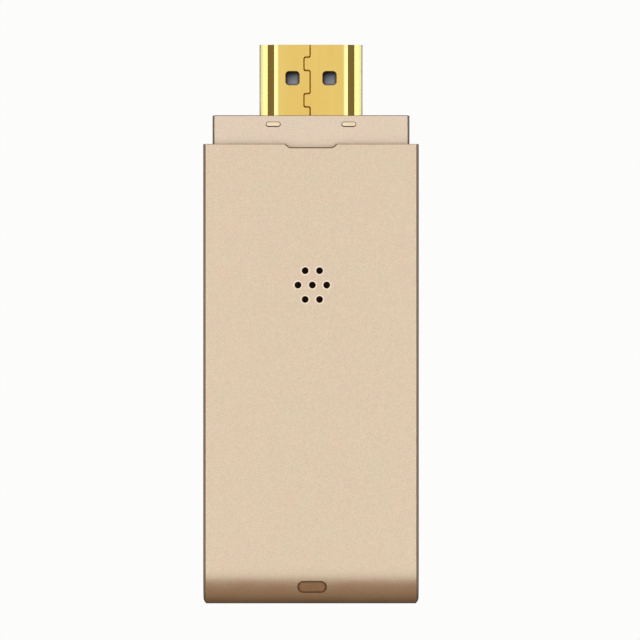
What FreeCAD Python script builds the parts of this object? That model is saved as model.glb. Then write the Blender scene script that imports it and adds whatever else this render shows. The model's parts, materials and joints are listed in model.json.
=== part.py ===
import FreeCAD, Part

# Wireless display adapter: a small casing with a video plug at one end.
# It lies on its plain face. Z points up through the vented face, Y points out of the plug,
# X runs across. The origin is on the resting face, under the middle of the whole length.

import math
import os
from types import SimpleNamespace

import Sketcher

# Driving sizes in millimetres, and counts.
DRIVING_SIZES = {
    # Casing
    "body_width": 29.1,
    "body_length": 62.1,
    "body_height": 10.5,
    "wall": 1.2,
    "corner_radius": 0.8,
    "rim_radius": 0.1,
    "lip_height": 0.8,
    "lip_thickness": 0.55,
    "lip_gap": 0.06,
    "lip_setback": 0.6,
    "bead_length": 5.0,
    "bead_spacing": 18.0,
    "bead_depth": 0.2,
    "bead_height": 0.3,
    "notch_width": 7.06,
    "notch_depth": 0.45,
    "vent_diameter": 0.9,
    "vent_pitch": 1.94,
    "vent_distance": 19.04,
    "vent_shift": 0.18,
    "mesh_side": 8.0,
    "mesh_gauge": 0.12,
    # Nose collar
    "nose_gap": 0.05,
    "nose_reach": 3.9,
    "nose_seat": 4.0,
    "nose_wall": 0.9,
    "nose_front": 0.7,
    "nose_corner": 0.35,
    "rib_width": 18.0,
    "rib_height": 0.4,
    "rib_length": 0.8,
    "rib_distance": 2.0,
    "rib_gap": 0.1,
    # Cradles that hold the plug, and their pads in the collar's windows
    "cradle_gap": 0.05,
    "pad_length": 1.92,
    "pad_width": 0.6,
    "pad_spacing": 10.22,
    "pad_inset": 1.235,
    "pad_gap": 0.07,
    "pad_recess": 0.08,
    # Video plug
    "plug_reach": 9.55,
    "plug_tail": 0.55,
    "plug_width": 13.9,
    "plug_height": 4.45,
    "plug_side": 2.9,
    "plug_step_width": 11.7,
    "plug_step_height": 3.25,
    "plug_flat_width": 9.78,
    "plug_gauge": 0.3,
    "plug_bend": 0.45,
    "plug_crown_bend": 1.1,
    "plug_shoulder_bend": 0.2,
    "latch_hole": 1.9,
    "latch_corner": 0.5,
    "latch_spacing": 5.0,
    "latch_distance": 4.52,
    "latch_pocket_margin": 0.2,
    "latch_pocket_depth": 0.45,
    "seam_gap": 0.1,
    "seam_shift": 0.12,
    "seam_corner": 0.25,
    "tongue_start": 1.68,
    "tongue_length": 1.8,
    "tongue_reach": 0.83,
    "tongue_pitch": 4.93,
    "plug_fit": 0.08,
    "insulator_inset": 0.5,
    "mating_slot_width": 10.4,
    "mating_slot_depth": 8.4,
    "contact_pitch": 1.0,
    "contact_width": 0.35,
    "contact_gauge": 0.2,
    "contact_inset": 1.2,
    "contact_jog": 0.5,
    "contact_foot": 1.4,
    "contact_fit": 0.03,
    "upper_contacts": 10,
    # Main board and its screws
    "board_thickness": 1.0,
    "board_gap": 0.45,
    "tab_width": 16.0,
    "tab_gap": 0.25,
    "tab_clearance": 0.6,
    "post_radius": 1.6,
    "screw_inset": 2.1,
    "screw_front": 8.0,
    "screw_rear": 21.5,
    "shank_radius": 0.6,
    "shank_length": 3.4,
    "screw_gap": 0.08,
    "head_radius": 1.1,
    "head_height": 0.6,
    "recess_width": 0.25,
    "recess_depth": 0.3,
    # Processor, its cooling, and the parts around it
    "processor_side": 13.0,
    "processor_height": 1.2,
    "thermal_thickness": 0.5,
    "sink_width": 19.0,
    "sink_length": 20.0,
    "sink_base": 0.8,
    "fin_clearance": 0.25,
    "fin_thickness": 0.8,
    "fin_count": 9,
    "memory_width": 9.0,
    "memory_length": 13.0,
    "memory_height": 1.0,
    "chip_gap": 0.4,
    "inductor_side": 3.0,
    "inductor_height": 1.6,
    "column_pitch": 4.0,
    "regulator_width": 2.9,
    "regulator_length": 1.6,
    "regulator_height": 1.1,
    "bulk_width": 1.8,
    "bulk_length": 3.0,
    "bulk_height": 1.5,
    "flash_width": 6.0,
    "flash_length": 4.0,
    "flash_height": 0.8,
    "crystal_width": 3.2,
    "crystal_length": 2.5,
    "crystal_height": 0.7,
    "ceramic_width": 0.5,
    "ceramic_length": 1.0,
    "ceramic_height": 0.5,
    "ceramic_pitch": 2.0,
    "ceramic_count": 6,
    "resistor_pitch": 1.5,
    "resistor_count": 7,
    "resistor_height": 0.35,
    "surge_width": 2.5,
    "surge_length": 1.0,
    "surge_height": 0.6,
    "surge_spacing": 5.0,
    # Radio module and antenna, placed from the curved end
    "radio_side": 12.0,
    "radio_thickness": 0.8,
    "radio_distance": 11.9,
    "radio_inset": 0.3,
    "can_margin": 0.8,
    "can_height": 1.5,
    "can_gauge": 0.2,
    "radio_chip_side": 5.5,
    "radio_chip_height": 0.8,
    "antenna_width": 5.0,
    "antenna_length": 2.0,
    "antenna_height": 1.0,
    "antenna_inset": 1.4,
    # Power socket in the side wall
    "socket_distance": 14.1,
    "socket_width": 7.5,
    "socket_narrow": 5.8,
    "socket_height": 2.45,
    "socket_slope": 0.9,
    "socket_depth": 5.0,
    "socket_gauge": 0.3,
    "socket_window_gap": 0.3,
    "socket_tongue_width": 3.7,
    "socket_tongue_thickness": 0.6,
    "socket_tongue_setback": 0.9,
    "socket_tongue_drop": 0.55,
    "socket_block": 1.3,
    "socket_fit": 0.04,
    "socket_contact_pitch": 0.65,
    "socket_contact_width": 0.3,
    "socket_contact_gauge": 0.12,
    "socket_contacts": 5,
    # Mode button in the curved end, and the switch under it
    "button_shift": 0.15,
    "button_length": 3.82,
    "button_width": 1.43,
    "button_distance": 2.31,
    "button_recess": 0.25,
    "button_slope": 0.6,
    "button_gap": 0.08,
    "button_rest_gap": 0.12,
    "flange_margin": 0.6,
    "flange_gap": 0.15,
    "flange_setback": 0.3,
    "flange_reach": 2.3,
    "switch_distance": 3.9,
    "switch_width": 4.2,
    "switch_length": 3.0,
    "switch_height": 1.1,
    "switch_floor": 0.3,
    "switch_wall": 0.35,
    "dome_radius": 1.1,
    "dome_height": 0.3,
    "dome_gauge": 0.08,
    "plunger_radius": 0.7,
    "plunger_shoulder": 0.35,
    "plunger_fit": 0.06,
    "plunger_reach": 0.5,
    "frame_thickness": 0.15,
    "terminal_width": 0.6,
    "terminal_reach": 0.5,
    "terminal_gauge": 0.15,
}

document = FreeCAD.newDocument("WirelessDisplayAdapter")


class Size:
    """A length or count, kept with the sheet formula that gives it."""

    def __init__(self, number, formula):
        self.number = number
        self.formula = formula

    def combined(self, sign, other):
        """This size joined to another by one of the four signs of arithmetic."""
        other = as_size(other)
        results = {
            "+": lambda: self.number + other.number,
            "-": lambda: self.number - other.number,
            "*": lambda: self.number * other.number,
            "/": lambda: self.number / other.number,
        }
        return Size(results[sign](), f"({self.formula} {sign} {other.formula})")

    def __add__(self, other):
        return self.combined("+", other)

    def __radd__(self, other):
        return as_size(other).combined("+", self)

    def __sub__(self, other):
        return self.combined("-", other)

    def __rsub__(self, other):
        return as_size(other).combined("-", self)

    def __mul__(self, other):
        return self.combined("*", other)

    def __rmul__(self, other):
        return as_size(other).combined("*", self)

    def __truediv__(self, other):
        return self.combined("/", other)

    def __neg__(self):
        return as_size(0).combined("-", self)


def as_size(value):
    """A plain number becomes a size whose formula is the number itself."""
    return value if isinstance(value, Size) else Size(value, f"({value})")


def root(value):
    """The square root of a size."""
    return Size(math.sqrt(value.number), f"sqrt({value.formula})")


def write_sheet():
    """Puts each driving size into its own cell, and gives the sizes by name."""
    sheet = document.addObject("Spreadsheet::Sheet", "Sizes")
    for row, (alias, number) in enumerate(DRIVING_SIZES.items(), start=1):
        sheet.set(f"A{row}", alias)
        sheet.set(f"B{row}", str(number))
        sheet.setAlias(f"B{row}", alias)
    document.recompute()
    return SimpleNamespace(
        **{alias: Size(number, f"Sizes.{alias}") for alias, number in DRIVING_SIZES.items()}
    )


size = write_sheet()


def derive_places():
    """Levels and positions that several pieces share, worked out from the driving sizes."""
    place = SimpleNamespace()
    whole_length = size.body_length + size.nose_reach + size.plug_reach
    place.tip = whole_length / 2
    place.nose_face = place.tip - size.plug_reach
    place.mouth = place.nose_face - size.nose_reach
    place.end = -whole_length / 2
    place.middle = size.body_height / 2
    place.end_centre = place.end + place.middle
    place.inner_radius = place.middle - size.wall
    place.inner_half = size.body_width / 2 - size.wall
    place.inner_end = place.end + size.wall
    place.nose_half = place.inner_half - size.nose_gap
    place.nose_low = size.wall + size.nose_gap
    place.nose_high = size.body_height - place.nose_low
    place.nose_back = place.mouth - size.nose_seat
    place.plug_back = place.mouth - size.plug_tail
    place.plug_low = place.middle - size.plug_height / 2
    place.plug_high = place.middle + size.plug_height / 2
    place.board_low = place.middle - size.board_thickness / 2
    place.board_high = place.middle + size.board_thickness / 2
    place.board_front = place.plug_back - size.tab_gap
    place.board_step = place.nose_back - size.tab_clearance
    place.board_half = place.inner_half - size.board_gap
    place.board_end = place.inner_end + size.board_gap
    place.screw_x = place.board_half - size.screw_inset
    place.screw_rows = (place.mouth - size.screw_front, place.end + size.screw_rear)
    place.processor_y = place.mouth - size.vent_distance
    place.sink_low = place.board_high + size.processor_height + size.thermal_thickness
    place.power_row = place.processor_y - size.sink_length / 2 - size.chip_gap - size.inductor_side / 2
    place.storage_row = place.power_row - (size.inductor_side + size.flash_length) / 2 - size.chip_gap
    place.socket_y = place.end + size.socket_distance
    place.socket_back = -place.inner_half + size.socket_depth
    place.socket_high = place.board_high + size.socket_height
    place.socket_tongue_high = place.socket_high - size.socket_gauge - size.socket_tongue_drop
    place.socket_tongue_low = place.socket_tongue_high - size.socket_tongue_thickness
    place.radio_x = place.board_half - size.radio_inset - size.radio_side / 2
    place.radio_y = place.end + size.radio_distance
    place.radio_high = place.board_high + size.radio_thickness
    place.button_y = place.end + size.button_distance
    place.switch_y = place.end + size.switch_distance
    place.switch_high = place.board_high + size.switch_height
    place.plunger_high = place.switch_high + size.plunger_reach
    place.button_low = place.plunger_high + size.button_rest_gap
    return place


place = derive_places()


def bind(item, path, value):
    """Ties one property of an item to the sheet."""
    item.setExpression(path, as_size(value).formula)


def locate(item, point):
    """Ties the position of an item to the sheet."""
    for axis, value in zip("xyz", point):
        bind(item, f"Placement.Base.{axis}", value)
    return item


# Primitives and booleans


def block(label, x_range, y_range, z_range):
    """A box that fills three ranges."""
    item = document.addObject("Part::Box", label)
    ranges = (x_range, y_range, z_range)
    for path, (low, high) in zip(("Length", "Width", "Height"), ranges):
        bind(item, path, high - low)
    return locate(item, [low for low, _ in ranges])


def centred(middle, span):
    """The range of a given span about a middle."""
    return (middle - span / 2, middle + span / 2)


def chip(label, x, y, floor, width, length, height):
    """A box that stands on a level, centred on a point."""
    return block(label, centred(x, width), centred(y, length), (floor, floor + height))


def cylinder(label, radius, x, y, floor, height):
    """An upright cylinder."""
    item = document.addObject("Part::Cylinder", label)
    bind(item, "Radius", radius)
    bind(item, "Height", height)
    return locate(item, (x, y, floor))


def fused(label, pieces):
    """Pieces joined into one solid."""
    item = document.addObject("Part::MultiFuse", label)
    item.Shapes = list(pieces)
    return item


def collected(label, pieces):
    """Pieces kept as separate solids under one name."""
    item = document.addObject("Part::Compound", label)
    item.Links = list(pieces)
    return item


def cut(label, base, tools):
    """A base with each of the tools taken away."""
    item = document.addObject("Part::Cut", label)
    item.Base = base
    item.Tool = collected(f"{label}_cutters", tools)
    return item


def shared(label, first, second):
    """What two solids have in common."""
    item = document.addObject("Part::Common", label)
    item.Base = first
    item.Tool = second
    return item


def stadium(label, x, y, length, width, floor, top):
    """An upright prism with straight long sides along X and round ends."""
    reach = (length - width) / 2
    pieces = [chip(f"{label}_middle", x, y, floor, reach * 2, width, top - floor)]
    for side in (-1, 1):
        pieces.append(
            cylinder(f"{label}_end", width / 2, x + reach * side, y, floor, top - floor)
        )
    return fused(label, pieces)


# Bodies, sketches and features


def new_body(label):
    """An empty body."""
    body = document.addObject("PartDesign::Body", label)
    body.Label = label
    return body


def sketch_on(body, role, offset=0):
    """A sketch on one of a body's own origin planes, moved along the plane's normal."""
    plane = next(item for item in body.Origin.OriginFeatures if item.Role == role)
    sketch = body.newObject("Sketcher::SketchObject", f"{body.Label}_sketch")
    sketch.AttachmentSupport = (plane, [""])
    sketch.MapMode = "FlatFace"
    bind(sketch, "AttachmentOffset.Base.z", offset)
    return sketch


def pin(sketch, edge, point, x, y):
    """Fixes one point of an edge at a place in the sketch."""
    for kind, value in (("DistanceX", x), ("DistanceY", y)):
        value = as_size(value)
        number = sketch.addConstraint(
            Sketcher.Constraint(kind, -1, 1, edge, point, float(value.number))
        )
        sketch.setExpression(f"Constraints[{number}]", value.formula)


def flat_vector(point):
    """A sketch point as a vector."""
    x, y = (as_size(value).number for value in point)
    return FreeCAD.Vector(x, y, 0)


def polygon(sketch, corners):
    """A closed outline of straight edges, each corner pinned."""
    edges = [
        sketch.addGeometry(Part.LineSegment(flat_vector(near), flat_vector(far)), False)
        for near, far in zip(corners, corners[1:] + corners[:1])
    ]
    for edge, following in zip(edges, edges[1:] + edges[:1]):
        sketch.addConstraint(Sketcher.Constraint("Coincident", edge, 2, following, 1))
    for edge, corner in zip(edges, corners):
        pin(sketch, edge, 1, *corner)


def rectangle(sketch, x_range, y_range):
    """A closed rectangle."""
    polygon(
        sketch,
        [
            (x_range[0], y_range[0]),
            (x_range[1], y_range[0]),
            (x_range[1], y_range[1]),
            (x_range[0], y_range[1]),
        ],
    )


def circle(sketch, x, y, radius):
    """A circle pinned by its centre and radius."""
    round_edge = Part.Circle(flat_vector((x, y)), FreeCAD.Vector(0, 0, 1), radius.number)
    edge = sketch.addGeometry(round_edge, False)
    pin(sketch, edge, 3, x, y)
    number = sketch.addConstraint(Sketcher.Constraint("Radius", edge, radius.number))
    bind(sketch, f"Constraints[{number}]", radius)


def slot(sketch, x, y, length, width):
    """A stadium outline, long along the sketch's X."""
    radius = width / 2
    reach = (length - width) / 2
    top = ((x - reach, y + radius), (x + reach, y + radius))
    bottom = ((x + reach, y - radius), (x - reach, y - radius))
    lines = [
        sketch.addGeometry(Part.LineSegment(flat_vector(a), flat_vector(b)), False)
        for a, b in (top, bottom)
    ]
    for line, ends in zip(lines, (top, bottom)):
        pin(sketch, line, 1, *ends[0])
        pin(sketch, line, 2, *ends[1])
    turns = ((x + reach, -math.pi / 2, math.pi / 2), (x - reach, math.pi / 2, 3 * math.pi / 2))
    for (centre_x, start, stop), (lower, upper) in zip(
        turns, (((lines[1], 1), (lines[0], 2)), ((lines[0], 1), (lines[1], 2)))
    ):
        round_edge = Part.Circle(flat_vector((centre_x, y)), FreeCAD.Vector(0, 0, 1), radius.number)
        arc = sketch.addGeometry(Part.ArcOfCircle(round_edge, start, stop), False)
        sketch.addConstraint(Sketcher.Constraint("Coincident", arc, 1, *lower))
        sketch.addConstraint(Sketcher.Constraint("Coincident", arc, 2, *upper))
        number = sketch.addConstraint(
            Sketcher.Constraint("DistanceX", -1, 1, arc, 3, centre_x.number)
        )
        bind(sketch, f"Constraints[{number}]", centre_x)


def half_section(sketch, near, far, radius, side):
    """Half of a long section: flat outside, with a quarter round at the far end.

    It lies between the middle plane and one face: above the plane where side is 1,
    below where side is -1.
    """
    level = place.middle
    face = level + radius * side
    turn = far + radius
    lines = [
        sketch.addGeometry(Part.LineSegment(flat_vector(a), flat_vector(b)), False)
        for a, b in (
            ((near, level), (near, face)),
            ((near, face), (turn, face)),
            ((far, level), (near, level)),
        )
    ]
    angles = (math.pi / 2, math.pi) if side > 0 else (math.pi, 3 * math.pi / 2)
    round_edge = Part.Circle(flat_vector((turn, level)), FreeCAD.Vector(0, 0, 1), radius.number)
    arc = sketch.addGeometry(Part.ArcOfCircle(round_edge, *angles), False)
    face_end, level_end = (1, 2) if side > 0 else (2, 1)
    for joint in (
        (lines[0], 2, lines[1], 1),
        (lines[1], 2, arc, face_end),
        (arc, level_end, lines[2], 1),
        (lines[2], 2, lines[0], 1),
    ):
        sketch.addConstraint(Sketcher.Constraint("Coincident", *joint))
    pin(sketch, lines[0], 1, near, level)
    pin(sketch, lines[0], 2, near, face)
    pin(sketch, arc, 3, turn, level)
    sketch.addConstraint(Sketcher.Constraint("Horizontal", lines[1]))
    sketch.addConstraint(Sketcher.Constraint("Horizontal", lines[2]))
    sketch.addConstraint(Sketcher.Constraint("Vertical", arc, 3, lines[1], 2))


def pad(body, sketch, length, symmetric=False, backwards=False):
    """Material added along the sketch's normal."""
    feature = body.newObject("PartDesign::Pad", f"{body.Label}_pad")
    return extruded(feature, sketch, length, symmetric, backwards)


def pocket(body, sketch, length, symmetric=False, backwards=False):
    """Material taken away against the sketch's normal."""
    feature = body.newObject("PartDesign::Pocket", f"{body.Label}_pocket")
    return extruded(feature, sketch, length, symmetric, backwards)


def extruded(feature, sketch, length, symmetric, backwards):
    """Sets up a pad or a pocket."""
    feature.Profile = sketch
    feature.Refine = True
    bind(feature, "Length", length)
    feature.SideType = "Symmetric" if symmetric else "One side"
    feature.Reversed = backwards
    sketch.Visibility = False
    document.recompute()
    return feature


def rounded(body, base, radius, chosen):
    """A fillet on every edge of the base that the test picks."""
    names = [f"Edge{n}" for n, edge in enumerate(base.Shape.Edges, start=1) if chosen(edge)]
    feature = body.newObject("PartDesign::Fillet", f"{body.Label}_fillet")
    feature.Base = (base, names)
    bind(feature, "Radius", radius)
    document.recompute()
    return feature


def on_plane(edge, axis, level):
    """Whether an edge lies in a plane square to one axis."""
    near = level.number if isinstance(level, Size) else level
    return all(math.isclose(getattr(v.Point, axis), near, abs_tol=1e-5) for v in edge.Vertexes)


def runs_along(edge, axis):
    """Whether an edge is straight and parallel to one axis."""
    if not isinstance(edge.Curve, Part.Line):
        return False
    return math.isclose(abs(getattr(edge.Curve.Direction, axis)), 1, abs_tol=1e-6)


# Casing


def cover_shell(label, side):
    """One half of the casing without its details: outside 1 is above the middle, -1 below."""
    body = new_body(label)
    half_width = size.body_width / 2
    outside = sketch_on(body, "YZ_Plane")
    half_section(outside, place.mouth, place.end, place.middle, side)
    shell = pad(body, outside, size.body_width, symmetric=True)

    def long_edge(edge):
        flank = on_plane(edge, "x", half_width) or on_plane(edge, "x", -half_width)
        return flank and not on_plane(edge, "y", place.mouth) and not on_plane(edge, "z", place.middle)

    shell = rounded(body, shell, size.corner_radius, long_edge)

    def rim_edge(edge):
        return on_plane(edge, "y", place.mouth) and not on_plane(edge, "z", place.middle)

    rounded(body, shell, size.rim_radius, rim_edge)
    inside = sketch_on(body, "YZ_Plane")
    half_section(inside, place.mouth, place.inner_end, place.inner_radius, side)
    pocket(body, inside, place.inner_half * 2, symmetric=True)
    return body


def lip_outline(sketch, outer, inner):
    """The U that follows both long walls and the curved end, between two offsets from the inside."""
    start = place.nose_back - size.lip_setback
    half_outer, end_outer = place.inner_half + outer, place.inner_end - outer
    half_inner, end_inner = place.inner_half - inner, place.inner_end + inner
    polygon(
        sketch,
        [
            (-half_outer, start),
            (-half_outer, end_outer),
            (half_outer, end_outer),
            (half_outer, start),
            (half_inner, start),
            (half_inner, end_inner),
            (-half_inner, end_inner),
            (-half_inner, start),
        ],
    )


def bead_outlines(sketch, clearance):
    """Four strips along the outside of the lip, two on each long wall."""
    middle = (place.nose_back + place.inner_end) / 2
    near = place.inner_half + size.lip_thickness / 2
    far = place.inner_half + size.lip_thickness + size.bead_depth + clearance
    for y in (middle - size.bead_spacing / 2, middle + size.bead_spacing / 2):
        y_range = centred(y, size.bead_length + clearance * 2)
        rectangle(sketch, (near, far), y_range)
        rectangle(sketch, (-far, -near), y_range)


def socket_window(body):
    """The opening for the power socket in the side wall."""
    y_range = centred(place.socket_y, size.socket_width + size.socket_window_gap * 2)
    z_range = (place.board_high - size.socket_window_gap, place.socket_high + size.socket_window_gap)
    sketch = sketch_on(body, "YZ_Plane", -size.body_width / 2)
    rectangle(sketch, y_range, z_range)
    pocket(body, sketch, size.wall, backwards=True)


def groove(body, side):
    """The groove across a cover's inside that the collar's rib snaps into."""
    depth = size.rib_height - size.nose_gap + size.rib_gap
    inside = place.middle + place.inner_radius * side
    sketch = sketch_on(body, "YZ_Plane")
    y_range = centred(place.mouth - size.rib_distance, size.rib_length + size.rib_gap * 2)
    z_range = (inside, inside + depth) if side > 0 else (inside - depth, inside)
    rectangle(sketch, y_range, z_range)
    pocket(body, sketch, size.rib_width + size.rib_gap * 2, symmetric=True)


def vent_places():
    """Centres of the seven vents: two, three and two in a row."""
    for row, count in ((-1, 2), (0, 3), (1, 2)):
        for column in range(count):
            x = size.vent_pitch * (column - (count - 1) / 2) + size.vent_shift
            yield x, place.processor_y + size.vent_pitch * row


def vented_cover():
    """The upper half of the casing, with the vents, the pry notch and the button's opening."""
    body = cover_shell("vented_cover", 1)
    rebate = sketch_on(body, "XY_Plane", place.middle)
    lip_outline(rebate, size.lip_thickness + size.lip_gap, size.lip_thickness)
    pocket(body, rebate, size.lip_height + size.lip_gap, backwards=True)
    bead_level = place.middle + (size.lip_height - size.bead_height) / 2 - size.lip_gap
    beads = sketch_on(body, "XY_Plane", bead_level)
    bead_outlines(beads, size.lip_gap)
    pocket(body, beads, size.bead_height + size.lip_gap * 2, backwards=True)
    groove(body, 1)
    socket_window(body)
    vents = sketch_on(body, "XY_Plane", size.body_height)
    for x, y in vent_places():
        circle(vents, x, y, size.vent_diameter / 2)
    pocket(body, vents, size.wall)
    notch = sketch_on(body, "XY_Plane", size.body_height)
    wide, narrow = size.notch_width / 2, size.notch_width / 2 - size.notch_depth
    back = place.mouth - size.notch_depth
    polygon(notch, [(-wide, place.mouth), (wide, place.mouth), (narrow, back), (-narrow, back)])
    pocket(body, notch, size.wall)
    opening = sketch_on(body, "XY_Plane", size.body_height)
    length, width = (value + size.button_gap * 2 for value in (size.button_length, size.button_width))
    slot(opening, size.button_shift, place.button_y, length, width)
    pocket(body, opening, place.middle - size.lip_height - size.lip_gap * 4)
    return body


def dust_mesh():
    """The square of fine black mesh glued inside the cover, behind the vents."""
    ceiling = size.body_height - size.wall
    side = size.mesh_side
    floor = ceiling - size.mesh_gauge
    return chip("dust_mesh", as_size(0), place.processor_y, floor, side, side, size.mesh_gauge)


def plain_cover():
    """The lower half of the casing, with the lip, its beads and the posts for the board."""
    body = cover_shell("plain_cover", -1)
    lip = sketch_on(body, "XY_Plane", place.middle)
    lip_outline(lip, size.lip_thickness, as_size(0))
    pad(body, lip, size.lip_height)
    beads = sketch_on(body, "XY_Plane", place.middle + (size.lip_height - size.bead_height) / 2)
    bead_outlines(beads, as_size(0))
    pad(body, beads, size.bead_height)
    groove(body, -1)
    socket_window(body)
    posts = sketch_on(body, "XY_Plane", size.wall / 2)
    pilots = sketch_on(body, "XY_Plane", place.board_low)
    for x, y in screw_places():
        circle(posts, x, y, size.post_radius)
        circle(pilots, x, y, size.shank_radius + size.screw_gap)
    pad(body, posts, place.board_low - size.wall / 2)
    pocket(body, pilots, size.shank_length - size.board_thickness + size.screw_gap)
    return body


def nose_collar():
    """The hollow collar between the casing and the plug."""
    body = new_body("nose_collar")
    outside = sketch_on(body, "XZ_Plane", -place.nose_face)
    rectangle(outside, (-place.nose_half, place.nose_half), (place.nose_low, place.nose_high))
    collar = pad(body, outside, size.nose_reach + size.nose_seat)
    rounded(
        body,
        collar,
        size.nose_corner,
        lambda edge: runs_along(edge, "y") or on_plane(edge, "y", place.nose_face),
    )
    inside = sketch_on(body, "XZ_Plane", -place.nose_back)
    half, low, high = (
        place.nose_half - size.nose_wall,
        place.nose_low + size.nose_wall,
        place.nose_high - size.nose_wall,
    )
    rectangle(inside, (-half, half), (low, high))
    pocket(body, inside, size.nose_reach + size.nose_seat - size.nose_front)
    plug_opening = sketch_on(body, "XZ_Plane", -place.nose_face)
    polygon(plug_opening, plug_outline(size.cradle_gap))
    pocket(body, plug_opening, size.nose_front, backwards=True)
    windows = sketch_on(body, "XY_Plane", place.nose_high)
    for side in (-1, 1):
        slot(
            windows,
            size.pad_spacing / 2 * side,
            place.nose_face - size.pad_inset,
            size.pad_length + size.pad_gap * 2,
            size.pad_width + size.pad_gap * 2,
        )
    pocket(body, windows, size.nose_wall)
    rib_y = centred(place.mouth - size.rib_distance, size.rib_length)
    ribs = sketch_on(body, "YZ_Plane")
    rectangle(ribs, rib_y, (place.nose_high - size.nose_wall / 2, place.nose_high + size.rib_height))
    rectangle(ribs, rib_y, (place.nose_low - size.rib_height, place.nose_low + size.nose_wall / 2))
    pad(body, ribs, size.rib_width, symmetric=True)
    return body


# Plug


def cradle(label, side):
    """One of the two mouldings that hold the plug inside the collar, with its plug recess."""
    half = place.nose_half - size.nose_wall - size.cradle_gap
    y_range = (place.plug_back, place.nose_face - size.nose_front - size.cradle_gap)
    face = (place.nose_high - size.nose_wall - size.cradle_gap - place.middle) * side + place.middle
    recess = (size.plug_height / 2 + size.cradle_gap) * side + place.middle
    whole = block(f"{label}_block", (-half, half), y_range, level_range(place.middle, face, side))
    plug_half = size.plug_width / 2 + size.cradle_gap
    seat = block(
        f"{label}_seat", (-plug_half, plug_half), y_range, level_range(place.middle, recess, side)
    )
    return cut(label, whole, [seat])


def level_range(inner, outer, side):
    """A range from the middle outwards, put in rising order."""
    return (inner, outer) if side > 0 else (outer, inner)


def plug_cradle_upper():
    """The upper cradle, whose two pads fill the collar's windows."""
    base = cradle("cradle_upper_base", 1)
    y = place.nose_face - size.pad_inset
    floor = place.plug_high + size.cradle_gap
    pads = [
        stadium(
            "cradle_pad",
            size.pad_spacing / 2 * side,
            y,
            size.pad_length,
            size.pad_width,
            floor,
            place.nose_high - size.pad_recess,
        )
        for side in (-1, 1)
    ]
    return fused("plug_cradle_upper", [base] + pads)


def plug_cradle_lower():
    """The lower cradle."""
    return cradle("plug_cradle_lower", -1)


def plug_outline(growth):
    """The plug's stepped section, widest below, grown outwards by a little."""
    right = [
        (size.plug_width / 2 + growth, place.plug_low - growth),
        (size.plug_width / 2 + growth, place.plug_low + size.plug_side + growth / 2),
        (size.plug_step_width / 2 + growth, place.plug_low + size.plug_step_height + growth),
        (size.plug_flat_width / 2 + growth / 2, place.plug_high + growth),
    ]
    return right + [(-x, z) for x, z in reversed(right)]


def plug_shell():
    """The folded sheet-metal sleeve of the plug, open at both ends, its seam up."""
    body = new_body("plug_shell")
    profile = sketch_on(body, "XZ_Plane", -place.tip)
    polygon(profile, plug_outline(as_size(0)))
    sleeve = pad(body, profile, place.tip - place.plug_back)
    crown = place.plug_high.number
    shoulder = place.plug_low + size.plug_side

    def crown_edge(edge):
        return runs_along(edge, "y") and on_plane(edge, "z", crown)

    def shoulder_edge(edge):
        outermost = abs(edge.CenterOfMass.x) > size.plug_width.number / 2 - size.plug_gauge.number / 2
        return runs_along(edge, "y") and on_plane(edge, "z", shoulder) and outermost

    def lower_edge(edge):
        low = edge.CenterOfMass.z < crown - size.plug_bend.number
        return runs_along(edge, "y") and low and not shoulder_edge(edge)

    sleeve = rounded(body, sleeve, size.plug_crown_bend, crown_edge)
    sleeve = rounded(body, sleeve, size.plug_bend, sharp_below(sleeve, lower_edge))
    hollow = body.newObject("PartDesign::Thickness", "plug_shell_hollow")
    ends = [
        f"Face{n}"
        for n, face in enumerate(sleeve.Shape.Faces, start=1)
        if abs(face.normalAt(0, 0).y) > 0.99
    ]
    hollow.Base = (sleeve, ends)
    bind(hollow, "Value", size.plug_gauge)
    hollow.Reversed = True
    document.recompute()
    holes = sketch_on(body, "XY_Plane", place.plug_high)
    hole_y = place.tip - size.latch_distance
    for side in (-1, 1):
        x = size.latch_spacing / 2 * side
        rectangle(holes, centred(x, size.latch_hole), centred(hole_y, size.latch_hole))
    pierced = pocket(body, holes, size.plug_height)
    corner_x = (size.latch_spacing.number + size.latch_hole.number) / 2
    corner_y = hole_y.number

    def hole_corner(edge):
        spot = edge.CenterOfMass
        near_row = abs(spot.y - corner_y) < size.latch_hole.number
        return runs_along(edge, "z") and near_row and abs(spot.x) < corner_x + size.plug_gauge.number

    pierced = rounded(body, pierced, size.latch_corner, hole_corner)
    seam = sketch_on(body, "XY_Plane", place.plug_high)
    polygon(seam, seam_outline())
    slit = pocket(body, seam, size.plug_gauge)
    reach = size.tongue_reach.number + size.seam_shift.number + size.seam_gap.number
    lowest = place.plug_high.number - size.plug_gauge.number * 2

    def seam_bend(edge):
        spot = edge.CenterOfMass
        inside = abs(spot.x) < reach and spot.z > lowest
        at_end = on_plane(edge, "y", place.tip) or on_plane(edge, "y", place.plug_back)
        return runs_along(edge, "z") and inside and not at_end

    seamed = rounded(body, slit, size.seam_corner, seam_bend)
    rounded(body, seamed, size.plug_shoulder_bend, shoulder_edge)
    return body


def sharp_below(base, chosen):
    """Picks, among the chosen edges, those where two flat faces meet at an angle."""
    sharp = []
    for edge in filter(chosen, base.Shape.Edges):
        faces = base.Shape.ancestorsOfType(edge, Part.Face)
        if all(isinstance(face.Surface, Part.Plane) for face in faces):
            sharp.append(edge.CenterOfMass)

    def picked(edge):
        return chosen(edge) and any(edge.CenterOfMass.isEqual(spot, 1e-6) for spot in sharp)

    return picked


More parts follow.
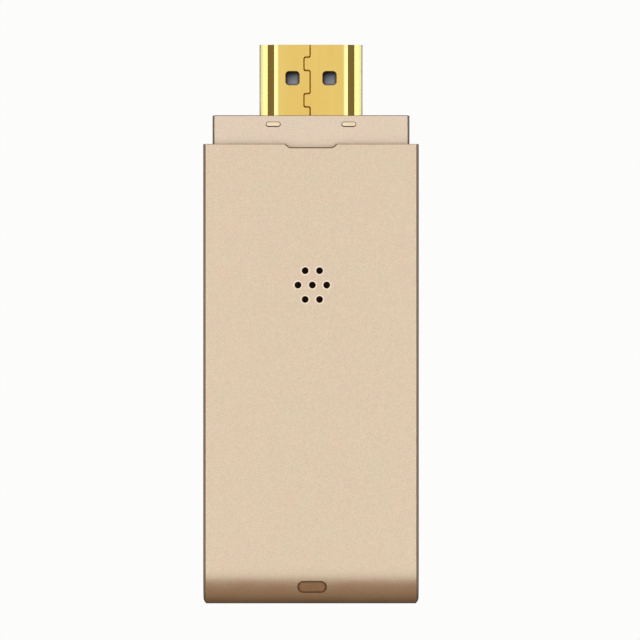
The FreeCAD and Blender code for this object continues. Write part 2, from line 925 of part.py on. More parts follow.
def seam_outline():
    """The slit that meanders round two interlocking tongues along the top of the sleeve."""
    path = [(0, place.tip)]
    for tongue in range(2):
        start = place.tip - size.tongue_start - size.tongue_pitch * tongue
        stop = start - size.tongue_length
        path += [(0, start), (1, start), (1, stop), (0, stop)]
    path.append((0, place.plug_back))
    half = size.seam_gap / 2

    def side_of(sign):
        points = []
        for index, (out, y) in enumerate(path):
            x = -size.tongue_reach * out - size.seam_shift - half * sign
            turns_out = index % 4 in (1, 2)
            bare_end = index in (0, len(path) - 1)
            y_shift = as_size(0) if bare_end else half * (sign if turns_out else -sign)
            points.append((x, y + y_shift))
        return points

    return side_of(-1) + side_of(1)[::-1]


def plug_insulator():
    """The plug's dark moulding: a stepped block with a mating slot and channels for contacts."""
    skin = size.plug_gauge + size.plug_fit
    y_range = (place.plug_back, place.tip - size.insulator_inset)
    wide = size.plug_width - skin * 2
    lower = block(
        "insulator_lower",
        centred(as_size(0), wide),
        y_range,
        (place.plug_low + skin, place.plug_low + size.plug_side - skin),
    )
    upper = block(
        "insulator_upper",
        centred(as_size(0), size.plug_flat_width - size.plug_gauge * 2),
        y_range,
        (place.plug_low + skin, place.plug_high - skin),
    )
    half_slot = size.board_thickness / 2 + size.contact_jog
    slot_range = (place.tip - size.mating_slot_depth, y_range[1])
    mating = block(
        "insulator_slot",
        centred(as_size(0), size.mating_slot_width),
        slot_range,
        (place.middle - half_slot, place.middle + half_slot),
    )
    channels = []
    for side, x in contact_places():
        outer = place.middle + half_slot * side
        inner = outer - (size.contact_gauge + size.contact_fit) * side
        z_range = level_range(inner, outer + size.contact_fit * side, side)
        width = size.contact_width + size.contact_fit * 2
        channels.append(
            block("insulator_channel", centred(x, width), (y_range[0], slot_range[0]), z_range)
        )
    pocket_side = size.latch_hole + size.latch_pocket_margin
    pockets = [
        block(
            "insulator_pocket",
            centred(size.latch_spacing / 2 * side, pocket_side),
            centred(place.tip - size.latch_distance, pocket_side),
            (place.plug_high - skin - size.latch_pocket_depth, place.plug_high - skin),
        )
        for side in (-1, 1)
    ]
    whole = fused("insulator_block", [lower, upper])
    return cut("plug_insulator", whole, [mating] + pockets + channels)


def contact_places():
    """Each contact as its side of the middle plane and its X: ten above, nine below."""
    upper = int(size.upper_contacts.number)
    for side, count in ((1, upper), (-1, upper - 1)):
        for index in range(count):
            yield side, size.contact_pitch * (index - (count - 1) / 2)


def plug_contacts(label, wanted_side):
    """One row of contacts: a flat spring each, stepped down to its pad on the board."""
    rows = [(side, x) for side, x in contact_places() if side == wanted_side]
    outer = size.board_thickness / 2 + size.contact_jog
    inner = size.board_thickness / 2
    gauge = size.contact_gauge
    front = place.tip - size.contact_inset
    bend = place.plug_back
    foot = place.board_front - size.contact_foot
    body = new_body(label)
    profile = [
        (front, outer),
        (bend - gauge, outer),
        (bend - gauge, inner + gauge),
        (foot, inner + gauge),
        (foot, inner),
        (bend, inner),
        (bend, outer - gauge),
        (front, outer - gauge),
    ]
    for _, x in rows:
        sketch = sketch_on(body, "YZ_Plane", x)
        polygon(sketch, [(y, place.middle + away * wanted_side) for y, away in profile])
        pad(body, sketch, size.contact_width, symmetric=True)
    return body


# Main board and what it carries


def screw_places():
    """Centres of the four board screws."""
    for x in (-place.screw_x, place.screw_x):
        for y in place.screw_rows:
            yield x, y


def main_board():
    """The circuit board: a narrow tab that reaches the plug, and a wide part behind the collar."""
    body = new_body("main_board")
    outline = sketch_on(body, "XY_Plane", place.board_low)
    right = [
        (size.tab_width / 2, place.board_front),
        (size.tab_width / 2, place.board_step),
        (place.board_half, place.board_step),
        (place.board_half, place.board_end),
    ]
    polygon(outline, right + [(-x, y) for x, y in reversed(right)])
    pad(body, outline, size.board_thickness)
    holes = sketch_on(body, "XY_Plane", place.board_high)
    for x, y in screw_places():
        circle(holes, x, y, size.shank_radius + size.screw_gap)
    pocket(body, holes, size.board_thickness)
    return body


def board_screws():
    """Four pan-head screws with cross recesses."""
    screws = []
    for x, y in screw_places():
        top = place.board_high + size.head_height
        head = cylinder("screw_head", size.head_radius, x, y, place.board_high, size.head_height)
        tip = place.board_high - size.shank_length
        shank = cylinder("screw_shank", size.shank_radius, x, y, tip, top - tip)
        long_side, narrow_side = size.head_radius * 1.2, size.recess_width
        recesses = [
            chip("screw_recess", x, y, top - size.recess_depth, width, length, size.recess_depth)
            for width, length in ((long_side, narrow_side), (narrow_side, long_side))
        ]
        screws.append(cut("board_screw", fused("screw_blank", [head, shank]), recesses))
    return collected("board_screws", screws)


def processor():
    """The main chip, under the vents."""
    side, height = size.processor_side, size.processor_height
    return chip("processor", as_size(0), place.processor_y, place.board_high, side, side, height)


def thermal_pad():
    """The soft pad between the processor and its heat sink."""
    floor = place.board_high + size.processor_height
    side, height = size.processor_side, size.thermal_thickness
    return chip("thermal_pad", as_size(0), place.processor_y, floor, side, side, height)


def heat_sink():
    """The aluminium plate over the processor, with straight fins along the casing."""
    y = place.processor_y
    width, length = size.sink_width, size.sink_length
    plate = chip("sink_plate", as_size(0), y, place.sink_low, width, length, size.sink_base)
    fins = []
    for index in range(int(size.fin_count.number)):
        step = (width - size.fin_thickness) / (size.fin_count - 1)
        x = step * index - (width - size.fin_thickness) / 2
        floor = place.sink_low + size.sink_base / 2
        top = size.body_height - size.wall - size.fin_clearance
        fins.append(chip("sink_fin", x, y, floor, size.fin_thickness, length, top - floor))
    return fused("heat_sink", [plate] + fins)


def memory_chip():
    """The memory, on the board's underside behind the processor."""
    return block(
        "memory_chip",
        centred(as_size(0), size.memory_width),
        centred(place.processor_y, size.memory_length),
        (place.board_low - size.memory_height, place.board_low),
    )


def flash_chip():
    """The storage chip, in the row behind the voltage converters."""
    return chip(
        "flash_chip",
        -size.column_pitch / 2,
        place.storage_row,
        place.board_high,
        size.flash_width,
        size.flash_length,
        size.flash_height,
    )


def power_row(label, columns, width, length, height):
    """Like parts in the row behind the heat sink, one to a column."""
    y, floor = place.power_row, place.board_high
    parts = [
        chip(f"{label}_part", size.column_pitch * column, y, floor, width, length, height)
        for column in columns
    ]
    return collected(label, parts)


def quartz_crystals():
    """The two clock crystals, beside the storage chip."""
    start = size.flash_width / 2 - size.column_pitch / 2 + size.chip_gap + size.crystal_width / 2
    return collected(
        "quartz_crystals",
        [
            chip(
                "crystal",
                x,
                place.storage_row,
                place.board_high,
                size.crystal_width,
                size.crystal_length,
                size.crystal_height,
            )
            for x in (start, start + size.crystal_width + size.chip_gap)
        ],
    )


def ceramic_capacitors():
    """Rows of small capacitors on both sides of the processor."""
    count = int(size.ceramic_count.number)
    parts = []
    for side in (-1, 1):
        x = (size.processor_side / 2 + size.chip_gap + size.ceramic_length / 2) * side
        for index in range(count):
            y = place.processor_y + size.ceramic_pitch * (index - (count - 1) / 2)
            parts.append(
                chip(
                    "capacitor",
                    x,
                    y,
                    place.board_high,
                    size.ceramic_length,
                    size.ceramic_width,
                    size.ceramic_height,
                )
            )
    return collected("ceramic_capacitors", parts)


def chip_resistors():
    """A row of resistors on the board's underside, where the plug's signals come in."""
    count = int(size.resistor_count.number)
    y = place.board_step - size.chip_gap - size.ceramic_length / 2
    z_range = (place.board_low - size.resistor_height, place.board_low)
    parts = []
    for index in range(count):
        x = size.resistor_pitch * (index - (count - 1) / 2)
        x_range = centred(x, size.ceramic_width)
        parts.append(block("resistor", x_range, centred(y, size.ceramic_length), z_range))
    return collected("chip_resistors", parts)


def surge_arrays():
    """Two protection chips on the plug's signal lines."""
    y = place.board_step - size.chip_gap - size.surge_length / 2
    return collected(
        "surge_arrays",
        [
            chip(
                "surge_array",
                size.surge_spacing / 2 * side,
                y,
                place.board_high,
                size.surge_width,
                size.surge_length,
                size.surge_height,
            )
            for side in (-1, 1)
        ],
    )


# Radio


def radio_board():
    """The radio module's own small board, soldered flat on the main board."""
    side, height = size.radio_side, size.radio_thickness
    return chip("radio_board", place.radio_x, place.radio_y, place.board_high, side, side, height)


def radio_can():
    """The pressed screening can over the radio chip, open below."""
    x, y, floor = place.radio_x, place.radio_y, place.radio_high
    side = size.radio_side - size.can_margin * 2
    inner_side = side - size.can_gauge * 2
    outside = chip("can_outside", x, y, floor, side, side, size.can_height)
    hollow = chip("can_inside", x, y, floor, inner_side, inner_side, size.can_height - size.can_gauge)
    return cut("radio_can", outside, [hollow])


def radio_chip():
    """The radio chip inside its can."""
    side, height = size.radio_chip_side, size.radio_chip_height
    return chip("radio_chip", place.radio_x, place.radio_y, place.radio_high, side, side, height)


def chip_antenna():
    """The ceramic antenna in the corner of the curved end."""
    return chip(
        "chip_antenna",
        place.board_half - size.antenna_inset - size.antenna_width / 2,
        place.switch_y,
        place.board_high,
        size.antenna_width,
        size.antenna_length,
        size.antenna_height,
    )


# Power socket


def socket_profile(inset):
    """The socket's outline across its opening, drawn in from the outside by an inset."""
    wide = size.socket_width / 2 - inset
    narrow = size.socket_narrow / 2 - inset / 2
    top, bottom = place.socket_high - inset, place.board_high + inset
    slope = place.board_high + size.socket_slope
    y = place.socket_y
    return [
        (y - wide, top),
        (y - wide, slope),
        (y - narrow, bottom),
        (y + narrow, bottom),
        (y + wide, slope),
        (y + wide, top),
    ]


def socket_shell():
    """The metal sleeve of the power socket."""
    body = new_body("socket_shell")
    outside = sketch_on(body, "YZ_Plane", -place.inner_half)
    polygon(outside, socket_profile(as_size(0)))
    pad(body, outside, size.socket_depth)
    inside = sketch_on(body, "YZ_Plane", -place.inner_half)
    polygon(inside, socket_profile(size.socket_gauge))
    pocket(body, inside, size.socket_depth, backwards=True)
    return body


def socket_tongue():
    """The moulding inside the power socket: a block at the back and a tongue towards the mouth."""
    half = size.socket_width / 2 - size.socket_gauge - size.socket_fit
    y_range = (place.socket_y - half, place.socket_y + half)
    low = place.socket_tongue_low
    back_block = block(
        "socket_block",
        (place.socket_back - size.socket_block, place.socket_back),
        y_range,
        (low, place.socket_high - size.socket_gauge - size.socket_fit),
    )
    tongue = block(
        "socket_bar",
        (-place.inner_half + size.socket_tongue_setback, place.socket_back),
        centred(place.socket_y, size.socket_tongue_width),
        (low, place.socket_tongue_high),
    )
    return fused("socket_tongue", [back_block, tongue])


def socket_contacts():
    """Five strips under the tongue, each bent down to the board behind the socket."""
    count = int(size.socket_contacts.number)
    gauge = size.socket_contact_gauge
    high, low = place.socket_tongue_low, place.board_high
    front = -place.inner_half + size.socket_tongue_setback + gauge
    bend = place.socket_back + size.socket_fit
    foot = bend + gauge + size.terminal_reach
    body = new_body("socket_contacts")
    for index in range(count):
        y = place.socket_y + size.socket_contact_pitch * (index - (count - 1) / 2)
        sketch = sketch_on(body, "XZ_Plane", -y)
        polygon(
            sketch,
            [
                (front, high),
                (bend + gauge, high),
                (bend + gauge, low + gauge),
                (foot, low + gauge),
                (foot, low),
                (bend, low),
                (bend, high - gauge),
                (front, high - gauge),
            ],
        )
        pad(body, sketch, size.socket_contact_width, symmetric=True)
    return body


# Button and switch


def mode_button():
    """The pill-shaped button: its flat face slopes with the curved end, and a flange keeps it in."""
    floor = place.button_low
    pill = stadium(
        "button_pill",
        size.button_shift,
        place.button_y,
        size.button_length,
        size.button_width,
        floor,
        size.body_height,
    )
    depth = place.end_centre - place.button_y
    face_radius = place.middle - size.button_recess
    face = place.middle + root(face_radius * face_radius - depth * depth)
    half, rise = size.button_width, size.button_width * size.button_slope
    slope = new_body("button_slope")
    sketch = sketch_on(slope, "YZ_Plane")
    polygon(
        sketch,
        [
            (place.button_y - half, floor),
            (place.button_y + half, floor),
            (place.button_y + half, face + rise),
            (place.button_y - half, face - rise),
        ],
    )
    pad(slope, sketch, size.body_width, symmetric=True)
    near = place.button_y + size.flange_setback
    inward = place.end_centre - near
    ceiling = place.middle + root(place.inner_radius * place.inner_radius - inward * inward)
    flange = block(
        "button_flange",
        centred(size.button_shift, size.button_length + size.flange_margin * 2),
        (near, near + size.flange_reach),
        (floor, ceiling - size.flange_gap),
    )
    return fused("mode_button", [shared("button_cap", pill, slope), flange])


def switch_base():
    """The switch's cup, soldered on the board under the button."""
    y, floor, height = place.switch_y, place.board_high, size.switch_height
    width, length = size.switch_width, size.switch_length
    outside = chip("switch_cup", as_size(0), y, floor, width, length, height)
    walls = size.switch_wall * 2
    inner_floor = floor + size.switch_floor
    hollow = chip("switch_hollow", as_size(0), y, inner_floor, width - walls, length - walls, height)
    return cut("switch_base", outside, [hollow])


def switch_dome():
    """The snap dome: a shallow spherical cap of thin sheet."""
    floor = place.board_high + size.switch_floor
    height, radius = size.dome_height, size.dome_radius
    sphere = (radius * radius + height * height) / (height * 2)
    outer = document.addObject("Part::Sphere", "dome_outer")
    inner = document.addObject("Part::Sphere", "dome_inner")
    centre = floor + height - sphere
    bind(outer, "Radius", sphere)
    bind(inner, "Radius", sphere - size.dome_gauge)
    locate(outer, (as_size(0), place.switch_y, centre))
    locate(inner, (as_size(0), place.switch_y, centre))
    disc = cylinder("dome_disc", radius, as_size(0), place.switch_y, floor, height)
    return cut("switch_dome", shared("dome_cap", disc, outer), [inner])


def switch_plunger():
    """The switch's plunger: a pin through the frame over a wider shoulder."""
    floor = place.board_high + size.switch_floor + size.dome_height
    shoulder_top = place.switch_high - size.plunger_fit
    shoulder_radius = size.plunger_radius + size.plunger_shoulder
    y = place.switch_y
    height = place.plunger_high - floor
    stem = cylinder("plunger_stem", size.plunger_radius, as_size(0), y, floor, height)
    shoulder = cylinder("plunger_disc", shoulder_radius, as_size(0), y, floor, shoulder_top - floor)
    return fused("switch_plunger", [stem, shoulder])


def switch_frame():
    """The thin metal frame that closes the switch, with a hole for the plunger."""
    y = place.switch_y
    plate = chip(
        "frame_plate",
        as_size(0),
        y,
        place.switch_high,
        size.switch_width,
        size.switch_length,
        size.frame_thickness,
    )
    hole = cylinder(
        "frame_hole",
        size.plunger_radius + size.plunger_fit,
        as_size(0),
        y,
        place.switch_high,
        size.frame_thickness,
    )
    return cut("switch_frame", plate, [hole])


def switch_terminals():
    """The four soldered feet at the ends of the switch."""
    feet = []
    for x_side in (-1, 1):
        inner = size.switch_width / 2 * x_side
        x_range = level_range(inner, inner + size.terminal_reach * x_side, x_side)
        for y_side in (-1, 1):
            y = place.switch_y + (size.switch_length - size.terminal_width) / 2 * y_side
            z_range = (place.board_high, place.board_high + size.terminal_gauge)
            feet.append(block("switch_terminal", x_range, centred(y, size.terminal_width), z_range))
    return collected("switch_terminals", feet)


def build_pieces():
    """Every piece of the adapter, as the item that holds its finished shape."""
    inductor = (size.inductor_side, size.inductor_side, size.inductor_height)
    regulator = (size.regulator_width, size.regulator_length, size.regulator_height)
    bulk = (size.bulk_width, size.bulk_length, size.bulk_height)
    return {
        "vented_cover": vented_cover(),
        "dust_mesh": dust_mesh(),
        "plain_cover": plain_cover(),
        "nose_collar": nose_collar(),
        "plug_cradle_upper": plug_cradle_upper(),
        "plug_cradle_lower": plug_cradle_lower(),
        "plug_shell": plug_shell(),
        "plug_insulator": plug_insulator(),
        "plug_contacts_upper": plug_contacts("plug_contacts_upper", 1),
        "plug_contacts_lower": plug_contacts("plug_contacts_lower", -1),
        "main_board": main_board(),
        "board_screws": board_screws(),
        "processor": processor(),
        "thermal_pad": thermal_pad(),
        "heat_sink": heat_sink(),
        "memory_chip": memory_chip(),
        "flash_chip": flash_chip(),
        "quartz_crystals": quartz_crystals(),
        "buck_inductors": power_row("buck_inductors", (-1.5, 1.5), *inductor),
        "buck_regulators": power_row("buck_regulators", (-0.5, 0.5), *regulator),
        "bulk_capacitors": power_row("bulk_capacitors", (-2.5, 2.5), *bulk),
        "ceramic_capacitors": ceramic_capacitors(),
        "chip_resistors": chip_resistors(),
        "surge_arrays": surge_arrays(),
        "radio_board": radio_board(),
        "radio_can": radio_can(),
        "radio_chip": radio_chip(),
        "chip_antenna": chip_antenna(),
        "socket_shell": socket_shell(),
        "socket_tongue": socket_tongue(),
        "socket_contacts": socket_contacts(),
        "mode_button": mode_button(),
        "switch_base": switch_base(),
        "switch_dome": switch_dome(),
        "switch_plunger": switch_plunger(),
        "switch_frame": switch_frame(),
        "switch_terminals": switch_terminals(),
    }


def check_document():
    """Stops the build where an item of the document did not work out."""
    for item in document.Objects:
        if "Invalid" in item.State or "Error" in item.State:
            raise RuntimeError(f"{item.Label} did not work out: {item.State}")


def check_piece(label, item):
    """Stops the build where a piece has no sound shape."""
    if item.Shape.isNull() or not item.Shape.isValid() or not item.Shape.Solids:
        raise RuntimeError(f"{label} has no sound shape")


pieces = build_pieces()
document.recompute()
check_document()
for label, item in pieces.items():
    item.Label = label
    check_piece(label, item)

os.makedirs("parts", exist_ok=True)
for label, item in pieces.items():
    item.Shape.exportStep(f"parts/{label}.step")
    print(f"{label}: {len(item.Shape.Solids)} solids, {item.Shape.Volume:.2f} cubic millimetres")
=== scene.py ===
"""The looks of a wireless display adapter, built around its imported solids.

The adapter lies on its plain face. Z points up through the vented face and Y out of the plug.
Every length is in metres in the part's own frame. Sizes that are written in millimetres are
turned to metres with MM, and a radiance of 1 is what shows as white.
"""

import json
import logging
import math
from collections.abc import Callable, Mapping, Sequence
from dataclasses import dataclass, field, replace
from enum import Enum
from functools import cache
from typing import Any

import bmesh
import bpy
from mathutils import Matrix, Vector

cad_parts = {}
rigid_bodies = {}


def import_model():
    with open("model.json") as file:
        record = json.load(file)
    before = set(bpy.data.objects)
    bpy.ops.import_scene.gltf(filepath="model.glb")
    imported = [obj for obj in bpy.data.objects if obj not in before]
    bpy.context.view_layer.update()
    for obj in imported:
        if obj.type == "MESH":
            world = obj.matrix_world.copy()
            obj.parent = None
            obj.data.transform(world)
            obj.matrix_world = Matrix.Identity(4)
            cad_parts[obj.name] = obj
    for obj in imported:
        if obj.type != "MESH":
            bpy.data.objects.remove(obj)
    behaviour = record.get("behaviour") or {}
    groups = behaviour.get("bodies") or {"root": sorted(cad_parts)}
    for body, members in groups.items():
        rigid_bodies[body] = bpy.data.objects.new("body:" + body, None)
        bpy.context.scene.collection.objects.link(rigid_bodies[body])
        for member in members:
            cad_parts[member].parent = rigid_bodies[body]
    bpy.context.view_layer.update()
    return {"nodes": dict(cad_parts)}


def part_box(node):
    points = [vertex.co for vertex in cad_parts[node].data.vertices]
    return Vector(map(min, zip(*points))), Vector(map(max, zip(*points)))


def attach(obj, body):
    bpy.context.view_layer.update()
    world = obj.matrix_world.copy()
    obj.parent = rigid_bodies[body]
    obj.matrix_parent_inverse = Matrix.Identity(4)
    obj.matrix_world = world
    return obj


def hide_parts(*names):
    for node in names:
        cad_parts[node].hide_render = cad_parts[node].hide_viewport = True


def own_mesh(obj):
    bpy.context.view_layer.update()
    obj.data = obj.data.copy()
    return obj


MM = 0.001
LOG = logging.getLogger("adapter")

# Points nearer to each other than this are one point.
WELD = 0.001 * MM
# A point that is nearer to a face or a line than this lies on it.
NEAR = 0.01 * MM
# An edge that turns by more than this is sharp.
SHARP = math.radians(35)
# Facets that turn by less than this are one flat face.
FLAT = math.radians(0.5)
# How much of a face's normal points up: at most this in an upright face, at least this in a level one.
UPRIGHT, LEVEL = 0.1, 0.99
# The segments of a rounding that shows, where the others have 2.
FINE = 3
# The two ends of a share that rises, and of one that falls.
RISING, FALLING = (0.0, 1.0), (1.0, 0.0)
# The places of the two colours among a colour mixer's inputs.
FIRST, SECOND = 6, 7

Colour = tuple[float, float, float, float]
Socket = bpy.types.NodeSocket


class Body(Enum):
    """The bodies that the pieces ride on."""

    ADAPTER = "adapter"
    BUTTON = "button"
    PLUNGER = "plunger"


class Slot(Enum):
    """The record's finishes."""

    CASING = "casing_paint"
    COLLAR = "collar_paint"
    BUTTON = "button_paint"
    PALE = "pale_moulding"
    GOLD = "gold_plating"
    CONTACT = "contact_gold"
    DARK = "dark_moulding"
    BOARD = "board_laminate"
    RADIO = "radio_laminate"
    SCREW = "screw_steel"
    CAN = "can_steel"
    SPRING = "spring_steel"
    CHIP = "chip_resin"
    FERRITE = "ferrite"
    BULK = "capacitor_resin"
    CERAMIC = "capacitor_ceramic"
    RESISTOR = "resistor_black"
    MESH = "mesh_cloth"
    THERMAL = "thermal_rubber"
    SINK = "sink_aluminium"


# Materials


def linear(code: str) -> Colour:
    """Turn an sRGB hex colour to linear light.

    Args:
        code: The colour as six hex digits after a hash.

    Returns:
        Red, green, blue and an alpha of 1.
    """
    shares = [int(code[i : i + 2], 16) / 255 for i in (1, 3, 5)]
    red, green, blue = (
        share / 12.92 if share <= 0.04045 else ((share + 0.055) / 1.055) ** 2.4
        for share in shares
    )
    return red, green, blue, 1.0


def add_node(
    tree: bpy.types.NodeTree,
    kind: str,
    inputs: Mapping[Any, Any] | Sequence[Any] = (),
    **settings: Any,
) -> bpy.types.Node:
    """Add a node with its settings, its fixed inputs and its links.

    Args:
        tree: The tree that takes the node.
        kind: Blender's identifier for the kind of node.
        inputs: A value, or the output socket that feeds it, for each input: by name or place
            in a mapping, or for the first inputs in turn in a sequence.
        **settings: The node's own settings.

    Returns:
        The new node.
    """
    node = tree.nodes.new(kind)
    for name, value in settings.items():
        setattr(node, name, value)
    fed = inputs if isinstance(inputs, Mapping) else dict(enumerate(inputs))
    for key, value in fed.items():
        if isinstance(value, Socket):
            tree.links.new(value, node.inputs[key])
        else:
            node.inputs[key].default_value = value
    return node


@dataclass(frozen=True)
class Finish:
    """What a surface is made of, with the variation that the eye sees in it."""

    name: str
    colour: str
    second: str
    mottle_mm: float = 2.0
    mottle_band: tuple[float, float] = (0.35, 0.65)
    roughness: tuple[float, float] = (0.4, 0.5)
    smudge_mm: float = 3.0
    smudge_band: tuple[float, float] = (0.3, 0.7)
    grain_mm: float = 0.1
    relief_mm: float = 0.002
    metallic: float = 0.0
    ior: float = 1.5
    coat: float = 0.0
    coat_roughness: float = 0.1
    coat_ior: float = 1.5
    edge_tint: str = "#ffffff"
    stretch: tuple[float, float, float] = (1.0, 1.0, 1.0)

    def material(self) -> bpy.types.Material:
        """Build the material, or find it if a piece has had it already.

        Returns:
            The material, whose roughness varies as with handling and whose grain is a bump.
        """
        found = bpy.data.materials.get(self.name)
        if found:
            return found
        material = bpy.data.materials.new(self.name)
        material.use_nodes = True
        tree = material.node_tree
        tree.nodes.clear()
        place = add_node(tree, "ShaderNodeTexCoord").outputs["Object"]
        if self.stretch != (1.0, 1.0, 1.0):
            squeezed = [1 / share for share in self.stretch]
            place = add_node(tree, "ShaderNodeMapping", {"Vector": place, "Scale": squeezed}).outputs[0]
        smudges, grain = (
            add_node(
                tree, "ShaderNodeTexNoise", {"Vector": place, "Scale": 1 / (size * MM)}
            ).outputs["Fac"]
            for size in (self.smudge_mm, self.grain_mm)
        )
        sheen = add_node(tree, "ShaderNodeMapRange", (smudges, *self.smudge_band, *self.roughness))
        relief = add_node(
            tree,
            "ShaderNodeBump",
            {"Height": grain, "Distance": self.relief_mm * MM, "Strength": 1.0},
        )
        shader = add_node(
            tree,
            "ShaderNodeBsdfPrincipled",
            {
                "Base Color": self.tone(tree, place),
                "Roughness": sheen.outputs[0],
                "Normal": relief.outputs[0],
                "Metallic": self.metallic,
                "IOR": self.ior,
                "Coat Weight": self.coat,
                "Coat Roughness": self.coat_roughness,
                "Coat IOR": self.coat_ior,
                "Specular Tint": linear(self.edge_tint),
            },
        )
        add_node(tree, "ShaderNodeOutputMaterial", {"Surface": shader.outputs[0]})
        return material

    def tone(self, tree: bpy.types.NodeTree, place: Socket) -> Socket:
        """The surface's colour, which drifts slowly between two tones.

        Args:
            tree: The material's tree.
            place: The point on the piece.

        Returns:
            The colour there.
        """
        mottle = add_node(
            tree, "ShaderNodeTexNoise", {"Vector": place, "Scale": 1 / (self.mottle_mm * MM)}
        ).outputs["Fac"]
        share = add_node(tree, "ShaderNodeMapRange", (mottle, *self.mottle_band, *RISING)).outputs[0]
        layers = {0: share, FIRST: linear(self.colour), SECOND: linear(self.second)}
        return add_node(tree, "ShaderNodeMix", layers, data_type="RGBA").outputs[2]


@dataclass(frozen=True)
class FlakePaint(Finish):
    """Sprayed metallic paint, whose flakes give a fine grain in level and hue.

    Real flakes are a few hundredths of a millimetre wide, too fine to show, so they are drawn
    several times as coarse.
    """

    flake_mm: float = 0.16
    flake_band: tuple[float, float] = (0.25, 0.75)
    flake_depth: float = 0.1
    flake_detail: float = 1.0
    hue_mm: float = 0.5
    hue_depth: float = 0.05
    hue_detail: float = 3.0

    def tone(self, tree: bpy.types.NodeTree, place: Socket) -> Socket:
        """The drift of the plain finish, with flakes that lighten, darken and tint it.

        Args:
            tree: The material's tree.
            place: The point on the piece.

        Returns:
            The colour there.
        """
        hues, flakes = (
            add_node(
                tree,
                "ShaderNodeTexNoise",
                {"Vector": place, "Scale": 1 / (size * MM), "Detail": detail},
            ).outputs[output]
            for size, detail, output in (
                (self.hue_mm, self.hue_detail, "Color"),
                (self.flake_mm, self.flake_detail, "Fac"),
            )
        )
        levels = (1 - self.flake_depth, 1 + self.flake_depth)
        level = add_node(tree, "ShaderNodeMapRange", (flakes, *self.flake_band, *levels)).outputs[0]
        grey = add_node(tree, "ShaderNodeCombineColor", (level, level, level)).outputs[0]
        colour = super().tone(tree, place)
        for share, layer, way in ((self.hue_depth, hues, "OVERLAY"), (1.0, grey, "MULTIPLY")):
            layers = {0: share, FIRST: colour, SECOND: layer}
            colour = add_node(
                tree, "ShaderNodeMix", layers, data_type="RGBA", blend_type=way
            ).outputs[2]
        return colour


@dataclass(frozen=True)
class PaintedCrownLight(Finish):
    """Plating with painted highlights along the bends of a plug's sleeve and painted shade at its
    sides.

    The four marks of a bend say where, from the middle, the paler tone starts, is full, begins
    to fade and is gone. The other pairs of marks say where a tone starts and where it is full.
    """

    bend_highlight: str = "#f3e195"
    bend_mm: tuple[float, float, float, float] = (4.3, 4.5, 5.0, 5.3)
    level_mm: tuple[float, float] = (5.3, 5.8)
    side_shade: str = "#9a9266"
    side_mm: tuple[float, float] = (5.8, 6.6)
    shoulder_mm: tuple[float, float] = (5.6, 5.8)

    def tone(self, tree: bpy.types.NodeTree, place: Socket) -> Socket:
        """The plain tone, turning to the painted highlight over both bends and to painted shade at the
        sides.

        Args:
            tree: The material's tree.
            place: The point on the piece.

        Returns:
            The colour there.
        """
        parts = add_node(tree, "ShaderNodeSeparateXYZ", (place,)).outputs
        across = add_node(tree, "ShaderNodeMath", (parts[0],), operation="ABSOLUTE").outputs[0]
        bends = (
            (across, self.bend_mm[:2], RISING),
            (across, self.bend_mm[2:], FALLING),
            (parts[2], self.level_mm, RISING),
        )
        sides = ((across, self.side_mm, RISING), (parts[2], self.shoulder_mm, RISING))
        colour = super().tone(tree, place)
        for ramps, other in ((bends, self.bend_highlight), (sides, self.side_shade)):
            share: float | Socket = 1.0
            for value, (start, end), shares in ramps:
                ramp = add_node(
                    tree, "ShaderNodeMapRange", (value, start * MM, end * MM, *shares)
                ).outputs[0]
                share = add_node(
                    tree, "ShaderNodeMath", (share, ramp), operation="MULTIPLY"
                ).outputs[0]
            layers = {0: share, FIRST: colour, SECOND: linear(other)}
            colour = add_node(tree, "ShaderNodeMix", layers, data_type="RGBA").outputs[2]
        return colour


@dataclass(frozen=True)
class SlopedPocketShade(Finish):
    """A near-black moulding in painted shade, with two square patches of painted light that grow paler
    down their slope.

    A patch is full up to the first of its marks from its middle, and gone at the second.
    """

    pocket_light: str = "#959db0"
    patch_mm: tuple[float, float] = (0.5, 0.95)
    spacing_mm: float = 5.0
    centre_mm: float = 33.1
    reach_mm: float = 1.0
    lean: float = 0.4

    def tone(self, tree: bpy.types.NodeTree, place: Socket) -> Socket:
        """The plain tone, turning to the painted light from the tip side to the casing side.

        Args:
            tree: The material's tree.
            place: The point on the piece.

        Returns:
            The colour there.
        """
        parts = add_node(tree, "ShaderNodeSeparateXYZ", (place,)).outputs
        half, reach = self.spacing_mm / 2 * MM, self.reach_mm * MM
        shifted = add_node(tree, "ShaderNodeMath", (parts[0], half), operation="ADD").outputs[0]
        across = add_node(
            tree, "ShaderNodeMath", (shifted, half, -half), operation="WRAP"
        ).outputs[0]
        down = add_node(
            tree, "ShaderNodeMath", (self.centre_mm * MM, parts[1]), operation="SUBTRACT"
        ).outputs[0]
        leant = add_node(
            tree, "ShaderNodeMath", (across, self.lean, down), operation="MULTIPLY_ADD"
        ).outputs[0]
        sides = [
            add_node(tree, "ShaderNodeMath", (way,), operation="ABSOLUTE").outputs[0]
            for way in (across, down)
        ]
        outwards = add_node(tree, "ShaderNodeMath", sides, operation="MAXIMUM").outputs[0]
        bounds = [bound * MM for bound in self.patch_mm]
        shares = [
            add_node(tree, "ShaderNodeMapRange", ramp).outputs[0]
            for ramp in ((leant, -reach, reach, *RISING), (outwards, *bounds, *FALLING))
        ]
        pocket_light = add_node(tree, "ShaderNodeMath", shares, operation="MULTIPLY").outputs[0]
        layers = {0: pocket_light, FIRST: super().tone(tree, place), SECOND: linear(self.pocket_light)}
        return add_node(tree, "ShaderNodeMix", layers, data_type="RGBA").outputs[2]


